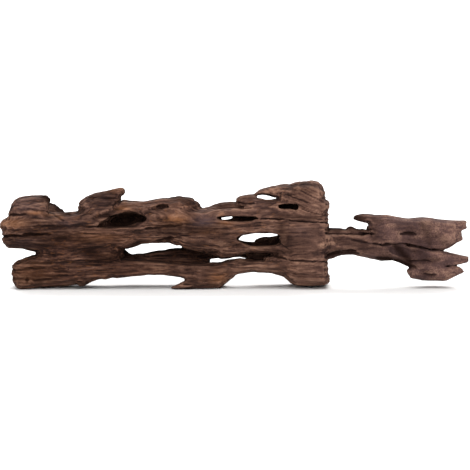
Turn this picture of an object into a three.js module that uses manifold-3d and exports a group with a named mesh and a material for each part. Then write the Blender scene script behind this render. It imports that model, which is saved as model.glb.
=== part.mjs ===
// A weathered honeycomb wood root: a long hollowed trunk of fused strands with lens-shaped
// windows, a narrow neck, and a right end that forks into two split prongs.
// Millimetres, +Z up, +X along the grain, -Y the side that faces the viewer.
//
// Every strand and every hollow runs along the grain, so each is a list of stations
//   [x, top, bottom, front, back]
// with x from the left tip, heights above the ground line, and depths from the middle plane.
import * as THREE from "three";
import { mergeVertices } from "three/addons/utils/BufferGeometryUtils.js";
import Module from "manifold-3d";

const wasm = await Module();
wasm.setup();

// Driving dimensions
const LENGTH = 468; // left tip to right tip
const HEIGHT = 112; // room above the ground, a little over the crown
const DEPTH = 90; // room front to back, a little over the widest place
const OUTSIDE = 70; // a depth past any surface, for cuts that start outside the wood
const SIGHT_FALL = Math.tan(THREE.MathUtils.degToRad(6)); // sections lean down to the back by 6 degrees
const JOINT_GAP = 0.3; // between the trunk and the two prongs that grow from it
const FORK_X = 368.5; // where the neck divides into the prongs
const HOOK_X = 350; // the upper prong's hook reaches left over the neck, as far as this
const HOOK_FLOOR = 63; // and stays above this height there
const SPLIT_FACE = -22; // the depth where the prongs' split meets the front
const SPLIT_RISE = 0.05; // how much the split climbs per millimetre towards the back

// Wood colours, from the dark left end to the paler right end
const TRUNK_COLOUR = "#563e35";
const PRONG_COLOUR = "#624b44";
const WOOD_ROUGHNESS = 0.85;

// The upper trunk, from its blunt left end to the broken right face
const LOG = [
  [0, 65, 58, -20, 12],
  [2.5, 67.5, 46, -26, 18],
  [7, 70, 39.7, -30, 23],
  [19, 73, 39.4, -34, 28],
  [35, 74.5, 36, -35, 31],
  [63, 75, 31, -33, 28],
  [89, 77, 31, -36, 33],
  [104, 78, 33, -35, 36],
  [121, 79.5, 37, -38, 33],
  [139, 81, 43.2, -36, 37],
  [153, 81.5, 45, -38, 36],
  [168, 81.5, 44.8, -35, 37],
  [183, 80, 39.5, -37, 32],
  [202, 79, 35.2, -33, 35],
  [220, 83.1, 29, -36, 31],
  [231, 84.2, 30, -35, 33],
  [249, 84, 34.8, -33, 35],
  [274, 83, 34, -36, 32],
  [299, 84, 28, -38, 38],
  [314, 84, 28, -37, 39],
  [323, 82, 29, -35, 36],
  [327, 79, 32, -30, 30],
];

// Crests that rise from the trunk
const LEFT_CREST = [
  [7.3, 73.5, 62, -24, -12],
  [10.5, 80, 54, -27, -9],
  [13.5, 86.8, 50, -29, -6],
  [20, 89.4, 46, -31, -4],
  [33, 91, 46, -33, -3],
  [42, 91.3, 46, -32, -5],
  [46, 90, 50, -31, -8],
  [48.8, 85, 62, -28, -12],
];
const BACK_CREST = [
  [15, 75, 58, 8, 20],
  [22, 81.5, 50, 4, 28],
  [31, 84, 44, 2, 33],
  [45, 84.6, 42, 4, 31],
  [53, 83, 44, 4, 32],
  [60, 78.4, 50, 8, 28],
  [65.5, 74.6, 60, 10, 22],
];
const HOOK_CREST = [
  [77.2, 83.4, 74, -18, -4],
  [79, 86.8, 60, -23, 0],
  [84, 89.6, 52, -28, 4],
  [94, 94.2, 50, -31, 6],
  [107, 97.2, 54, -31, 5],
  [114, 98.4, 70, -29, 4],
  [118.5, 99, 80, -26, 3],
  [120.5, 99, 91, -24, 2],
  [122.7, 98.6, 93, -21, 0],
  [124.4, 96.8, 94.4, -17, -5],
];
const HUMP = [
  [115, 84, 58, -26, 8],
  [124, 86.1, 50, -31, 16],
  [144, 86.6, 47, -35, 27],
  [159, 89, 47, -36, 24],
  [179, 91, 50, -35, 22],
  [192, 88, 58, -28, 17],
  [196.8, 85, 66, -23, 13],
  [199.7, 81, 74, -17, 8],
];
const KNOB = [
  [234.1, 88.2, 86, -17, -7],
  [235.6, 90.2, 80, -21, -2],
  [239, 92, 70, -26, 3],
  [246, 92.9, 64, -29, 6],
  [253, 92.7, 66, -28, 5],
  [258, 90.6, 66, -27, 6],
  [264, 88.6, 64, -29, 8],
  [272, 88.6, 62, -31, 12],
  [280, 91, 60, -33, 15],
  [288, 95, 58, -34, 20],
];
const ARCH = [
  [252.5, 92.8, 86, -15, -4],
  [255, 94.7, 89, -18, 1],
  [257.5, 96.5, 91.8, -20, 3],
  [263, 98.5, 92.8, -21, 5],
  [269, 100.3, 92.5, -22, 6],
  [275, 101.4, 88, -24, 9],
  [281, 101.8, 75, -29, 15],
  [289, 103, 62, -33, 20],
];

// The right end of the trunk: strands stacked one on the other, each broken off at its own length
const CROWN = [
  [279, 99, 72, -28, 16],
  [287, 102, 58, -33, 22],
  [296, 106, 52, -36, 26],
  [311, 106.9, 50, -36, 28],
  [317, 105.6, 52, -35, 26],
  [321, 102.8, 58, -32, 24],
  [323.2, 99, 70, -28, 21],
  [324.5, 93, 80, -22, 16],
];
const KNUCKLE = [
  [296, 86, 66, -37, 32],
  [314, 87.5, 68, -38, 33],
  [324, 88, 74, -35, 30],
  [327.5, 86, 76.5, -30, 24],
  [329.4, 83.5, 79.5, -23, 14],
];
const SHELF = [
  [289, 74, 50, -39, 36],
  [314, 73, 48, -39, 38],
  [323, 72, 52, -37, 35],
  [326.4, 69.6, 58, -32, 28],
  [327.8, 67.5, 62.5, -26, 20],
];
const FOOT_STAVE = [
  [262, 29.4, 16, -23, 22],
  [270, 33.5, 14.6, -28, 27],
  [281, 37, 11, -31, 31],
  [289, 42, 4.8, -34, 35],
  [296, 46, 1.6, -36, 37],
  [310, 48, 1, -37, 40],
  [323, 40, 2, -34, 37],
  [327.3, 27, 5, -29, 30],
];
const HEEL = [
  [308, 19, 2, -33, 35],
  [323, 16.5, 2.2, -32, 34],
  [327.5, 14.2, 3.5, -28, 29],
  [329.3, 11.5, 7, -20, 20],
];
const RIGHT_PAD = [
  [286, 22, 8, 14, 30],
  [294, 22, 0, 11, 34],
  [303, 22, -3, 10, 36],
  [318, 20, -3, 10, 36],
  [325, 18, 2, 12, 33],
];

// The lower rail, the cheek that ties it to the trunk, and what stands behind its windows
const RAIL = [
  [11, 20, 12, -22, 10],
  [12.5, 24, 4.5, -26, 16],
  [16, 27, -1.6, -30, 22],
  [21, 28.7, -3.4, -32, 26],
  [29, 31, -3, -33, 30],
  [39, 33, -1, -31, 28],
  [69, 35, 2, -32, 25],
  [90, 33, 4.9, -32, 22],
  [99, 31, 8, -33, 20],
  [123, 27.5, 10.4, -33, 14],
  [147, 26.5, 12.8, -30, 8],
  [159, 26, 12.3, -31, 10],
  [172, 25, 11.4, -28, 8],
  [181, 24, 9.6, -30, 12],
  [189, 23.5, 5, -28, 14],
  [199, 23, 2, -30, 13],
  [221, 25.2, 7, -30, 12],
  [229, 26.8, 10.4, -28, 14],
  [239, 28.5, 13.8, -30, 12],
  [253, 27, 16, -30, 18],
  [271, 26.5, 14.9, -31, 26],
  [283, 27.5, 12.5, -31, 28],
  [289, 28, 10, -33, 32],
];
const CHEEK = [
  [34, 47, 27, -19, 20],
  [37, 55, 20, -25, 24],
  [44, 62, 14, -30.5, 28],
  [60, 66, 10, -33, 27],
  [80, 66, 10, -34.5, 31],
  [99, 64, 13, -35, 28],
  [110, 58, 17, -34, 28],
  [118, 49, 23, -30, 26],
  [124, 41, 31, -23, 21],
];
const BELLY_LUMP = [
  [74, 12, 4, -27, -6],
  [79, 14, 1.2, -30, -2],
  [84, 14, 1.6, -29, 0],
  [91, 14, 5.6, -26, -6],
];
const SPUR = [
  [169.5, -0.2, -0.9, -22, -16],
  [172, 1.2, -1.2, -24, -12],
  [179, 4, -1.6, -27, -3],
  [187.5, 10, -2, -28, 14],
  [194, 17, -2, -28, 22],
  [204, 22, -2, -28, 27],
  [214, 22, -2, -27, 25],
  [219, 22, -1.6, -27, 23],
  [225.5, 22, 4, -25, 16],
  [234, 22, 10.8, -22, 8],
];
const BACK_SILL = [
  [107, 36, 17, 8, 26],
  [122, 38.6, 16, 6, 32],
  [130, 34.6, 16, 4, 33],
  [141, 33.4, 15, 6, 33],
  [149, 35.2, 15, 4, 31],
  [167, 38.3, 14, 5, 31],
  [184, 40.5, 8, 6, 30],
  [195, 42, 2, 4, 32],
  [208, 33, 4, 9, 29],
  [210.5, 27, 10, 12, 26],
];
const BACK_WEB = [
  [203, 42, 24, 10, 24],
  [210, 40, 27.4, 7, 27],
  [222, 40, 28.9, 6, 29],
  [229, 40, 30, 4, 28],
  [239, 40, 30.4, 5, 30],
  [244.5, 40, 29, 4, 28],
  [247, 40, 20, 4, 30],
  [256, 41, 17, 3, 32],
  [285, 42, 12, 2, 37],
  [296, 40, 12, 2, 38],
];

// Ribs on the far side, which the photo doesn't show: they cross from the crests to the rail
const FAR_RIBS = [
  [
    [12, 66, 54, 16, 28],
    [40, 70, 50, 20, 38],
    [70, 64, 44, 22, 38],
    [98, 60, 41, 24, 40],
    [124, 57, 42.5, 22, 37],
    [146, 54, 46, 18, 30],
  ],
  [
    [88, 78, 68, 14, 28],
    [112, 82, 62, 18, 39],
    [140, 78, 58, 24, 43],
    [170, 70, 50, 26, 42],
    [200, 62, 42, 24, 40],
    [228, 56, 38, 18, 33],
  ],
  [
    [196, 76, 66, 14, 28],
    [222, 80, 60, 20, 38],
    [250, 80, 58, 22, 41],
    [276, 76, 54, 22, 40],
    [304, 70, 50, 24, 42],
    [322, 66, 54, 20, 34],
  ],
];

// The neck and the two prongs
const NECK = [
  [308, 66, 22, -30, 30],
  [322, 61, 26, -26, 26],
  [330, 58.3, 28.6, -23, 22],
  [340, 58.7, 31.8, -20, 18],
  [345, 57.5, 32.2, -19, 17],
  [348, 59.4, 32.4, -18, 17],
  [357, 57.8, 32.8, -18, 16],
  [364, 57.2, 31.4, -19, 17],
  [379, 57, 27, -22, 19],
];
const UPPER_PRONG = [
  [366.4, 66, 50, -14, 10],
  [369, 71, 43.5, -20, 16],
  [382, 72.7, 40.8, -26, 22],
  [392, 70.8, 41.2, -28, 22],
  [406, 69, 41.7, -28, 22],
  [421, 69.9, 37.7, -28, 23],
  [429, 70, 36.4, -26, 24],
  [442, 68, 36.8, -25, 21],
  [448, 67.2, 39.8, -23, 18],
  [454, 67, 43, -21, 16],
  [461.2, 66, 50, -15, 11],
];
const PRONG_HOOK = [
  [352.8, 70.4, 68.8, -12, -5],
  [357, 72.2, 66.5, -17, 1],
  [360, 73.3, 65.8, -19, 4],
  [367, 73.4, 61, -21, 10],
  [373, 73.1, 52, -23, 14],
  [381, 72.8, 46, -24, 18],
];
const PRONG_FINGER = [
  [436, 69, 52, -23, 18],
  [449, 67.4, 55, -20, 14],
  [457, 67, 56.6, -18, 10],
  [463.5, 66.9, 57.5, -15, 7],
  [465.8, 66.2, 59, -13, 4],
];
const PRONG_HEEL = [
  [436, 60, 38, -25, 20],
  [452, 54.5, 42.6, -20, 15],
  [458, 52.8, 45.4, -17, 10],
  [462.3, 49, 47.2, -11, 2],
];
const LOWER_PRONG = [
  [352, 46, 32.7, -16, 13],
  [369, 46, 29.1, -21, 18],
  [380, 44, 26.6, -23, 20],
  [392, 45, 27.1, -24, 22],
  [398, 46, 25.1, -24, 21],
  [411, 43, 19, -25, 22],
  [429, 38.5, 17, -27, 21],
  [442, 36.1, 19, -26, 19],
  [449, 34, 21, -24, 17],
  [457, 32.7, 22.4, -21, 12],
  [467, 30.3, 25.1, -13, 3],
  [468, 28.5, 26.8, -10, -1],
];
const TOE = [
  [405.8, 16.2, 14.8, -16, -8],
  [410, 24, 9.4, -22, 7],
  [421, 30, 7.2, -26, 17],
  [429, 30, 6.6, -27, 18],
  [442, 25, 6, -25, 16],
  [447, 22.5, 7, -23, 13],
  [457, 21.7, 12.3, -18, 5],
  [462.8, 17.5, 14.7, -13, -2],
];

// Windows that go right through. Two are cut from both sides, and the cuts meet inside
const WINDOWS = {
  eyeFront: [
    [236.6, 49.6, 48, -OUTSIDE, -26],
    [240, 52, 45.2, -OUTSIDE, -6],
    [244, 53.6, 42.6, -OUTSIDE, 1],
    [250, 54.7, 40.8, -OUTSIDE, 6],
    [257, 55.2, 40, -OUTSIDE, 8],
    [267, 55, 40.4, -OUTSIDE, 8],
    [274, 54.2, 41.4, -OUTSIDE, 3],
    [279, 53, 43.6, -OUTSIDE, -9],
    [281, 52.2, 46, -OUTSIDE, -22],
  ],
  eyeBack: [
    [234, 49, 47, 24, OUTSIDE],
    [239, 52, 46, -2, OUTSIDE],
    [245, 55, 44.6, -10, OUTSIDE],
    [251, 56, 44.4, -12, OUTSIDE],
    [254, 56.4, 44.8, -12, OUTSIDE],
    [256, 56.6, 47.6, -12, OUTSIDE],
    [262, 56.8, 49.4, -12, OUTSIDE],
    [270, 56.6, 49.8, -10, OUTSIDE],
    [276, 55.6, 51, -2, OUTSIDE],
    [281, 54, 52.4, 20, OUTSIDE],
  ],
  slotFront: [
    [215.5, 70.6, 69, -OUTSIDE, -24],
    [220, 71.5, 66.6, -OUTSIDE, -6],
    [228, 71.7, 65.6, -OUTSIDE, 2],
    [240, 71.6, 65.3, -OUTSIDE, 6],
    [250, 71.3, 65.6, -OUTSIDE, 4],
    [255, 70.6, 67, -OUTSIDE, -8],
    [258.5, 69.4, 68.4, -OUTSIDE, -26],
  ],
  slotBack: [
    [217, 69.5, 67.6, 26, OUTSIDE],
    [220, 71, 66.4, -4, OUTSIDE],
    [225, 71.9, 66.2, -12, OUTSIDE],
    [229, 72, 67.4, -12, OUTSIDE],
    [231.8, 71.2, 69, -4, OUTSIDE],
  ],
  arch: [
    [255.8, 91.6, 90.8, -OUTSIDE, OUTSIDE],
    [258.5, 92.3, 89, -OUTSIDE, OUTSIDE],
    [264, 92.9, 87.6, -OUTSIDE, OUTSIDE],
    [269, 92.6, 87.5, -OUTSIDE, OUTSIDE],
    [273, 91.2, 88.2, -OUTSIDE, OUTSIDE],
    [278, 89.8, 89.2, -OUTSIDE, OUTSIDE],
  ],
};

// Hollows on the near side that stay closed behind
const NEAR_HOLLOWS = {
  darkMouth: [
    [95, 60.8, 59.4, -OUTSIDE, -31],
    [103, 66, 58.8, -OUTSIDE, -18],
    [111, 70.6, 59.2, -OUTSIDE, -4],
    [121, 73.5, 60.2, -OUTSIDE, 6],
    [131, 74.3, 61.6, -OUTSIDE, 8],
    [139, 73.2, 64.2, -OUTSIDE, 0],
    [145.5, 69.5, 67.6, -OUTSIDE, -18],
  ],
  crownSlot: [
    [277.2, 81.6, 79.6, -OUTSIDE, -22],
    [279.5, 82.8, 78, -OUTSIDE, -8],
    [287, 83.2, 77.6, -OUTSIDE, 4],
    [294, 82.9, 77.8, -OUTSIDE, -4],
    [296.8, 81.2, 79.6, -OUTSIDE, -22],
  ],
  knotPocket: [
    [150, 79.5, 77.6, -OUTSIDE, -33],
    [154, 82.4, 76.4, -OUTSIDE, -27],
    [161, 84.4, 77, -OUTSIDE, -22],
    [167.8, 83, 79, -OUTSIDE, -27],
  ],
  rimRecess: [
    [207, 80.6, 79.2, -OUTSIDE, -26],
    [214, 82, 78, -OUTSIDE, -20],
    [222, 82.6, 77.8, -OUTSIDE, -16],
    [239, 82.6, 77.8, -OUTSIDE, -16],
    [249, 81, 79, -OUTSIDE, -26],
  ],
  neckRecess: [
    [355, 55.6, 54, -OUTSIDE, -14],
    [360, 57, 52.6, -OUTSIDE, -9],
    [366, 57, 51, -OUTSIDE, -7],
    [370.5, 55, 52, -OUTSIDE, -12],
  ],
  neckUndercut: [
    [326, 35, 20, -OUTSIDE, -14],
    [332, 36.2, 22, -OUTSIDE, -8],
    [340, 36.4, 24, -OUTSIDE, -7],
    [350, 36, 26, -OUTSIDE, -9],
    [360, 34.4, 28, -OUTSIDE, -14],
  ],
  prongHollow: [
    [387.5, 41.5, 37, -OUTSIDE, -21.5],
    [391, 43.6, 32, -OUTSIDE, -17],
    [400, 45, 28.5, -OUTSIDE, -15],
    [409, 42.6, 26.5, -OUTSIDE, -15.5],
    [418, 39.6, 25.5, -OUTSIDE, -19],
    [429, 36.4, 27, -OUTSIDE, -25],
  ],
};

// Hollows on the far side and on top, in the same manner
const FAR_HOLLOWS = {
  leftPocket: [
    [24, 54, 52, 26, OUTSIDE],
    [36, 58, 46, 14, OUTSIDE],
    [50, 58, 42, 10, OUTSIDE],
    [66, 52, 40, 20, OUTSIDE],
  ],
  midPocket: [
    [76, 76, 72, 22, OUTSIDE],
    [86, 76, 66, 10, OUTSIDE],
    [100, 72, 61, 14, OUTSIDE],
    [116, 64, 56, 22, OUTSIDE],
    [128, 60, 56, 34, OUTSIDE],
  ],
  cheekPocket: [
    [70, 30, 27, 22, OUTSIDE],
    [80, 34, 22, 10, OUTSIDE],
    [96, 34, 21, 8, OUTSIDE],
    [110, 30, 23, 18, OUTSIDE],
  ],
  humpPocket: [
    [176, 78, 76, 24, OUTSIDE],
    [184, 80, 70, 12, OUTSIDE],
    [198, 76, 65, 10, OUTSIDE],
    [210, 70, 62, 20, OUTSIDE],
    [218, 66, 62, 30, OUTSIDE],
  ],
  crownPocket: [
    [284, 90, 88, 18, OUTSIDE],
    [292, 94, 82, 6, OUTSIDE],
    [302, 94, 81, 4, OUTSIDE],
    [312, 89, 82, 18, OUTSIDE],
  ],
  stavePocket: [
    [270, 38, 34, 30, OUTSIDE],
    [280, 42, 28, 16, OUTSIDE],
    [294, 44, 26, 12, OUTSIDE],
    [306, 40, 27, 20, OUTSIDE],
    [314, 36, 30, 34, OUTSIDE],
  ],
  prongPocket: [
    [402, 60, 58, 18, OUTSIDE],
    [410, 64, 52, 10, OUTSIDE],
    [424, 64, 50, 8, OUTSIDE],
    [438, 58, 52, 16, OUTSIDE],
  ],
  saddleGutter: [
    [20, 110, 84, -3, 3],
    [32, 110, 74, -6, 5],
    [50, 110, 70, -5, 7],
    [66, 110, 72, -4, 6],
    [74, 110, 76, -2, 3],
  ],
  humpGutter: [
    [146, 120, 88, -3, 4],
    [154, 120, 79, -8, 9],
    [168, 120, 76, -10, 12],
    [180, 120, 82, -6, 9],
    [188, 120, 92, -3, 4],
  ],
};

// Cracks along the grain: thin, and deeper than they are wide
const CRACKS = {
  leftEnd: [
    [-3, 52.8, 50.6, -OUTSIDE, -6],
    [9, 52.8, 50.2, -OUTSIDE, -10],
    [24, 53, 50.8, -OUTSIDE, -16],
    [40, 54.2, 51.4, -OUTSIDE, -20],
    [48.5, 53.6, 52, -OUTSIDE, -28],
  ],
  crest: [
    [4, 73.8, 72.4, -OUTSIDE, -22],
    [14, 73.8, 72, -OUTSIDE, -24],
    [24, 73.6, 73, -OUTSIDE, -31],
  ],
  foot: [
    [33, 7.6, 5.8, -OUTSIDE, -29],
    [40, 8.4, 6.4, -OUTSIDE, -26],
    [48, 9.4, 8.6, -OUTSIDE, -32],
  ],
  brow: [
    [146, 59.6, 58.6, -OUTSIDE, -35],
    [158, 60.3, 58.7, -OUTSIDE, -31],
    [171, 61.4, 59.6, -OUTSIDE, -30],
    [181.5, 62.2, 61.2, -OUTSIDE, -34],
  ],
  lid: [
    [155, 48.8, 47.6, -OUTSIDE, -34],
    [159, 50, 47.2, -OUTSIDE, -28],
    [167, 50.6, 48.2, -OUTSIDE, -28],
    [177.5, 51, 50, -OUTSIDE, -34],
  ],
  upperSplit: [
    [256, 69.6, 69, -OUTSIDE, -32],
    [279, 69, 67.4, -OUTSIDE, -28],
    [299, 67.6, 65.8, -OUTSIDE, -26],
    [332, 65.2, 63.4, -OUTSIDE, -18],
  ],
  lowerSplit: [
    [283, 27.6, 26.6, -OUTSIDE, -29],
    [300, 27.5, 25.7, -OUTSIDE, -26],
    [332, 26.4, 24.6, -OUTSIDE, -20],
  ],
  neckSplit: [
    [330, 56, 55, -OUTSIDE, -17],
    [340, 56.2, 54, -OUTSIDE, -10],
    [352, 56, 54.4, -OUTSIDE, -14],
  ],
  prongSplit: [
    [342, 47.6, 47, -OUTSIDE, -17],
    [351, 47.6, 46.2, -OUTSIDE, -12],
    [366, 44.8, 43, -OUTSIDE, -8],
    [382, 43, 40.8, -OUTSIDE, -4],
    [399, 44.8, 42.2, -OUTSIDE, -4],
    [414, 41.4, 39, -OUTSIDE, -4],
    [429, 38.6, 36.4, -OUTSIDE, -4],
    [446, 37.6, 35.6, -OUTSIDE, -4],
  ],
  prongSlit: [
    [398.5, 53.8, 52.8, -OUTSIDE, -26],
    [404, 55, 52, -OUTSIDE, -18],
    [411, 54.6, 52, -OUTSIDE, -18],
    [418, 53.4, 52.6, -OUTSIDE, -26],
  ],
  toeSplit: [
    [440, 22, 21, -OUTSIDE, -24],
    [450, 22.6, 20.8, -OUTSIDE, -16],
    [458, 23.2, 21, -OUTSIDE, 0],
    [470, 24, 21.2, -OUTSIDE, OUTSIDE],
  ],
};

// The line where the split between the prongs meets the front, as [x, height]
const SPLIT_LINE = [
  [FORK_X - 1, 43.8],
  [374, 43],
  [382, 42],
  [391, 42.4],
  [399, 43.6],
  [406, 42.9],
  [414, 40.3],
  [429, 37.6],
  [442, 36.2],
  [447, 34.8],
  [LENGTH + 2, 34],
];

/** Signed power: keeps the sign of a cosine or sine while it squares the section's corners. */
const squared = (value, roundness) => Math.sign(value) * Math.abs(value) ** (2 / roundness);

/** Ridges that run along the grain, drift slowly round the section, and fade at top and bottom. */
function grainRidge(angle, x, ridges, ridgeHeight) {
  const wave = Math.sin(ridges * angle + x / 23) + 0.6 * Math.sin((ridges + 3) * angle - x / 17);
  return ridgeHeight * wave * Math.abs(Math.cos(angle)) * Math.sign(Math.cos(angle));
}

/**
 * A closed solid along the grain: a cylinder whose rings are moved onto the stations.
 * roundness is 2 for an ellipse and more for a squarer section.
 */
function strand(stations, { sides = 14, roundness = 2.5, ridges = 5, ridgeHeight = 0 } = {}) {
  const places = stations.map(([x]) => x);
  const sections = new THREE.CubicInterpolant(places, stations.flatMap(([, ...box]) => box), 4);
  const last = stations.length - 1;
  const cylinder = new THREE.CylinderGeometry(1, 1, last, sides, last);
  const position = cylinder.getAttribute("position");
  const point = new THREE.Vector3();
  for (let i = 0; i < position.count; i++) {
    point.fromBufferAttribute(position, i);
    const x = places[Math.round(point.y + last / 2)];
    const [top, bottom, front, back] = sections.evaluate(x);
    const onWall = Math.hypot(point.x, point.z) > 0.5 ? 1 : 0;
    const angle = Math.atan2(point.z, point.x);
    const ridge = grainRidge(angle, x, ridges, ridgeHeight);
    const outward = onWall * squared(Math.cos(angle), roundness);
    const upward = onWall * squared(Math.sin(angle), roundness);
    const depth = (front + back) / 2 + ((back - front) / 2) * outward + onWall * ridge;
    const height = (top + bottom) / 2 + ((top - bottom) / 2) * upward;
    position.setXYZ(i, x, depth, height - depth * SIGHT_FALL);
  }
  return solidOf(cylinder);
}

/** A geometry as a solid, with its shared vertices merged and its faces outwards. */
function solidOf(geometry) {
  const bare = geometry.clone();
  bare.deleteAttribute("normal");
  bare.deleteAttribute("uv");
  const merged = mergeVertices(bare, 1e-4);
  const corners = [...merged.index.array];
  const faces = corners.flatMap((corner, i) => (i % 3 ? [] : [corners.slice(i, i + 3)]));
  const whole = faces.filter(([a, b, c]) => a !== b && b !== c && c !== a);
  const vertProperties = merged.getAttribute("position").array;
  const solidFrom = (list) => {
    const triVerts = Uint32Array.from(list.flat());
    return new wasm.Manifold(new wasm.Mesh({ numProp: 3, vertProperties, triVerts }));
  };
  const solid = solidFrom(whole);
  return solid.volume() > 0 ? solid : solidFrom(whole.map((face) => face.reverse()));
}

/** A solid as a geometry. */
function geometryOf(solid) {
  const { vertProperties, triVerts } = solid.getMesh();
  return new THREE.BufferGeometry()
    .setAttribute("position", new THREE.BufferAttribute(vertProperties, 3))
    .setIndex(new THREE.BufferAttribute(triVerts, 1));
}

/** A box from its lowest to its highest corner. */
function block(low, high) {
  const size = high.map((value, i) => value - low[i]);
  const middle = high.map((value, i) => (value + low[i]) / 2);
  return solidOf(new THREE.BoxGeometry(...size).translate(...middle));
}

/** Everything on one side of the split line, down to or up to a height, through the whole depth. */
function besideSplit(edge, farHeight) {
  const outline = new THREE.Shape([
    ...edge.map(([x, height]) => new THREE.Vector2(x, height)),
    new THREE.Vector2(edge.at(-1)[0], farHeight),
    new THREE.Vector2(edge[0][0], farHeight),
  ]);
  const slab = new THREE.ExtrudeGeometry(outline, { depth: 2 * DEPTH, bevelEnabled: false });
  slab.rotateX(Math.PI / 2).translate(0, DEPTH, 0);
  const climb = new THREE.Matrix4().makeShear(0, 0, 0, SPLIT_RISE, 0, 0);
  const lift = -SPLIT_FACE * (SIGHT_FALL + SPLIT_RISE);
  return solidOf(slab.applyMatrix4(climb).translate(0, 0, lift));
}

const join = (solids) => solids.reduce((all, solid) => all.add(solid));
const carve = (solid, cuts) => cuts.reduce((left, cut) => left.subtract(cut), solid);

/** The wood before it is hollowed. */
function grownWood() {
  const each = (tables, options) => tables.map((stations) => strand(stations, options));
  return join([
    strand(LOG, { sides: 20, roundness: 3.3, ridges: 7, ridgeHeight: 1.3 }),
    ...each([CHEEK, FOOT_STAVE, CROWN, UPPER_PRONG], { sides: 14, roundness: 3, ridgeHeight: 1 }),
    ...each([RAIL, SHELF, LOWER_PRONG], { sides: 12, roundness: 3, ridgeHeight: 1 }),
    ...each([LEFT_CREST, HOOK_CREST, HUMP, NECK], { sides: 12, roundness: 3, ridgeHeight: 1 }),
    ...each([SPUR, TOE, KNUCKLE], { sides: 10, roundness: 3 }),
    ...each([BACK_CREST, KNOB, ARCH, HEEL, RIGHT_PAD], { sides: 10 }),
    ...each([BACK_SILL, BACK_WEB, BELLY_LUMP, ...FAR_RIBS], { sides: 8 }),
    ...each([PRONG_HOOK, PRONG_FINGER, PRONG_HEEL], { sides: 8 }),
  ]);
}

/** The wood with its windows, hollows and cracks, flat where it stands. */
function weatheredWood() {
  const cuts = (tables, options) => Object.values(tables).map((stations) => strand(stations, options));
  return carve(grownWood(), [
    ...cuts(WINDOWS, { sides: 10, roundness: 5 }),
    ...cuts(NEAR_HOLLOWS, { sides: 10, roundness: 2.6 }),
    ...cuts(FAR_HOLLOWS, { sides: 8, roundness: 2.6 }),
    ...cuts(CRACKS, { sides: 6, roundness: 2 }),
    block([-OUTSIDE, -OUTSIDE, -OUTSIDE], [LENGTH + OUTSIDE, OUTSIDE, 0]),
  ]);
}

/** The trunk and its two prongs, parted at the fork and along the split. */
function forkedPieces() {
  const wood = weatheredWood();
  const prongSide = (x, floor) =>
    block([x, -DEPTH, -1], [LENGTH + 1, DEPTH, HEIGHT]).add(
      block([HOOK_X, -DEPTH, floor], [FORK_X + 1, DEPTH, HEIGHT]),
    );
  const prongs = wood.intersect(prongSide(FORK_X + JOINT_GAP / 2, HOOK_FLOOR + JOINT_GAP / 2));
  const shifted = (by) => SPLIT_LINE.map(([x, height]) => [x, height + by]);
  const hookRoom = block([HOOK_X, -DEPTH, HOOK_FLOOR], [FORK_X, DEPTH, HEIGHT]);
  return {
    trunk: wood.subtract(prongSide(FORK_X - JOINT_GAP / 2, HOOK_FLOOR - JOINT_GAP / 2)),
    upper_prong: prongs.intersect(besideSplit(shifted(JOINT_GAP / 2), HEIGHT + DEPTH).add(hookRoom)),
    lower_prong: prongs.intersect(besideSplit(shifted(-JOINT_GAP / 2), -DEPTH)),
  };
}

/** The three pieces as named meshes, with the origin under the middle of the whole. */
function honeycombRoot() {
  const root = new THREE.Group();
  root.name = "honeycomb_root";
  for (const [name, solid] of Object.entries(forkedPieces())) {
    const color = name === "trunk" ? TRUNK_COLOUR : PRONG_COLOUR;
    const material = new THREE.MeshStandardMaterial({ color, roughness: WOOD_ROUGHNESS, metalness: 0 });
    const mesh = new THREE.Mesh(geometryOf(solid), material);
    mesh.name = name;
    root.add(mesh);
  }
  const { min, max } = new THREE.Box3().setFromObject(root);
  root.position.set(-(min.x + max.x) / 2, -(min.y + max.y) / 2, -min.z);
  return root;
}

export default honeycombRoot();
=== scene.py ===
"""A weathered honeycomb wood root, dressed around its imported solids, on a pale studio floor.

The three solids are joined, rounded and given the relief of eroded wood, then parted again at the
fork, so that the trunk and its two prongs stay pieces of their own with no seam to see.
Metres, +Z up, +X along the grain, -Y towards the viewer.
"""
import logging
import math
from dataclasses import asdict, dataclass, field
from enum import Enum
from itertools import combinations

import bpy
import numpy as np
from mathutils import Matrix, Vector


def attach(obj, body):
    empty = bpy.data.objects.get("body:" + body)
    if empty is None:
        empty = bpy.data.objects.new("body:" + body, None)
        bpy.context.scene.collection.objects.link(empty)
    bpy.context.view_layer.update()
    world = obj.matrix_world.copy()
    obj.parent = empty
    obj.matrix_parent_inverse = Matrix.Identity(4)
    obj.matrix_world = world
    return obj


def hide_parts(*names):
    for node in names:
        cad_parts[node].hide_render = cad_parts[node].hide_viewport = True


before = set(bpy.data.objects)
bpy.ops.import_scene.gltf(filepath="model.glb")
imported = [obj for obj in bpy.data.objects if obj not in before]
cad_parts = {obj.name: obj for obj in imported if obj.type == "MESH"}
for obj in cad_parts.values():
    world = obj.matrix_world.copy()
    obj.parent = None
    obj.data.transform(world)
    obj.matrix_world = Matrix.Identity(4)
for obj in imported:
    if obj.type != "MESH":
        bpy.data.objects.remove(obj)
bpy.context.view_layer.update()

log = logging.getLogger("honeycomb_root")

# Short names for the types that recur
Array = np.ndarray
Mesh = bpy.types.Mesh
Body = bpy.types.Object
NodeTree = bpy.types.NodeTree
Socket = bpy.types.NodeSocket
Path = tuple[tuple[float, float], ...]
Triple = tuple[float, float, float]

MM = 0.001
SIGHT_FALL = math.tan(math.radians(6.0))  # the solids' sections lean down to the back by 6 degrees
MIDDLE_PLANE = -1.711 * MM  # depth of the root's middle plane in the shared frame
LEFT_TIP = -234.0 * MM  # where the left tip is, which every length along the grain starts from
NOISE_ROUGHNESS = 0.55  # how much of its fine detail a noise keeps
GOLDEN_ANGLE = 2.399963  # the turn, in radians, that spreads directions evenly over a ball


class Side(Enum):
    """The side of the root that a crack is on."""

    NEAR = -1.0
    FAR = 1.0


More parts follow.
